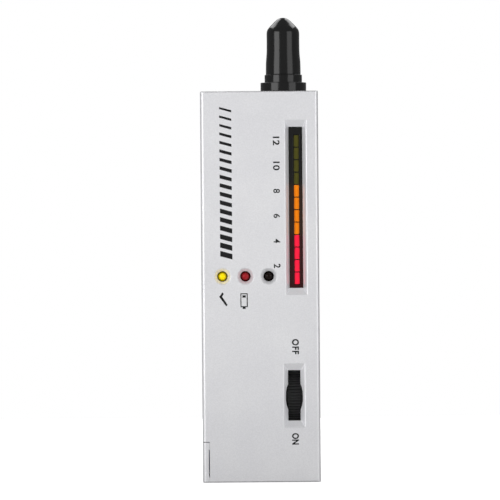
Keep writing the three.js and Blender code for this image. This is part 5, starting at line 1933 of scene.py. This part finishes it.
def add_world():
    """Even grey light, a little brighter in gloss for what is behind the case. The camera sees white."""
    world = bpy.data.worlds.new("studio")
    world.use_nodes = True
    tree = world.node_tree
    tree.nodes.clear()
    direction = add_node(tree, "ShaderNodeTexCoord").outputs["Generated"]
    forward = add_node(tree, "ShaderNodeSeparateXYZ", links={0: direction}).outputs["Y"]
    behind = add_node(tree, "ShaderNodeMapRange", between(0, 0.12, 0.9, 1), {"Value": forward})
    links = {0: add_node(tree, "ShaderNodeLightPath").outputs["Is Glossy Ray"], 1: behind.outputs[0]}
    mirrored = add_node(tree, "ShaderNodeMath", {"operation": "MULTIPLY"}, links)
    links = {0: mirrored.outputs[0], 1: seen_directly(tree)}
    white = add_node(tree, "ShaderNodeMath", {"operation": "MAXIMUM"}, links).outputs[0]
    colour = add_node(tree, "ShaderNodeMix", shades(ROOM_LIGHT, linear("FFFFFF")), {0: white})
    back = add_node(tree, "ShaderNodeBackground", {"Strength": 1.0}, {"Color": colour.outputs[2]})
    add_node(tree, "ShaderNodeOutputWorld", links={"Surface": back.outputs[0]})
    bpy.context.scene.world = world


def add_floor(stage):
    """A floor. The camera sees it white except where the case shades it."""
    corners = ((-1, -1), (1, -1), (1, 1), (-1, 1))
    points = [(x * stage.floor_half, y * stage.floor_half, -stage.floor_drop) for x, y in corners]
    mesh = flat_shape("floor", points)
    floor = new_object(mesh)
    material, tree, place = new_material("grey_card")
    grain = mottle(tree, place, 8, 2.0)
    colour = add_node(tree, "ShaderNodeMix", shades(linear("ACACAC"), linear("B2B2B2")), {0: grain})
    lift = add_node(tree, "ShaderNodeMapRange", between(0, 0.84), {"Value": seen_directly(tree)})
    links = {"Base Color": colour.outputs[2], "Emission Strength": lift.outputs[0]}
    surface(tree, {"Roughness": 0.9, "Emission Color": (*linear("FFFFFF"), 1)}, links)
    mesh.materials.append(material)


def add_camera(stage):
    """A long lens square to the face, at the photograph's framing and its slight lean."""
    data = bpy.data.cameras.new("camera")
    data.lens = data.sensor_width * stage.camera_distance / stage.frame_width
    camera = new_object(data)
    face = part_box("front_shell")[0].y
    camera.location = (stage.camera_side, face - stage.camera_distance, stage.camera_height)
    camera.rotation_euler = (math.pi / 2, stage.camera_lean, 0)
    bpy.context.scene.camera = camera


class MakeStage(bpy.types.Operator):
    """The pale floor, the soft lamps, the world and the camera"""

    bl_idname = "tester.make_stage"
    bl_label = "Stage"

    def execute(self, context):
        stage = context.scene.tester_stage
        add_floor(stage)
        add_world()
        add_key(stage)
        for softbox in SOFTBOXES:
            add_softbox(*softbox)
        add_camera(stage)
        context.scene.view_settings.view_transform = "Standard"
        return {"FINISHED"}


# Panel and registration


PIECES = (
    MakeFrontShell,
    MakeRearShell,
    MakeDoor,
    MakeLamps,
    MakeBar,
    MakeWheel,
    MakeProbe,
    MakeBack,
    MakeMarks,
    FinishInside,
    MakeStage,
)


class TesterPanel(bpy.types.Panel):
    """Lists the steps that make the tester"""

    bl_idname = "VIEW3D_PT_tester"
    bl_label = "Diamond tester"
    bl_space_type = "VIEW_3D"
    bl_region_type = "UI"
    bl_category = "Tester"

    def draw(self, context):
        for step in PIECES:
            self.layout.operator(step.bl_idname)


GROUPS = {
    "tester_case": CaseSizes,
    "tester_door": DoorSizes,
    "tester_lights": LightSizes,
    "tester_probe": ProbeSizes,
    "tester_wheel": WheelSizes,
    "tester_screws": ScrewShares,
    "tester_marks": MarkSizes,
    "tester_stage": StageSizes,
    "tester_finishes": Finishes,
}


def register():
    """Registers the sizes, the steps and the panel."""
    for group in (*GROUPS.values(), *PIECES, TesterPanel):
        bpy.utils.register_class(group)
    for name, group in GROUPS.items():
        setattr(bpy.types.Scene, name, PointerProperty(type=group))


def unregister():
    """Takes the panel, the steps and the sizes away again."""
    for name in GROUPS:
        delattr(bpy.types.Scene, name)
    for group in (TesterPanel, *reversed(PIECES), *reversed(GROUPS.values())):
        bpy.utils.unregister_class(group)


def main():
    """Makes every piece and the stage."""
    register()
    for step in PIECES:
        group, name = step.bl_idname.split(".")
        getattr(getattr(bpy.ops, group), name)()


if __name__ == "__main__":
    main()
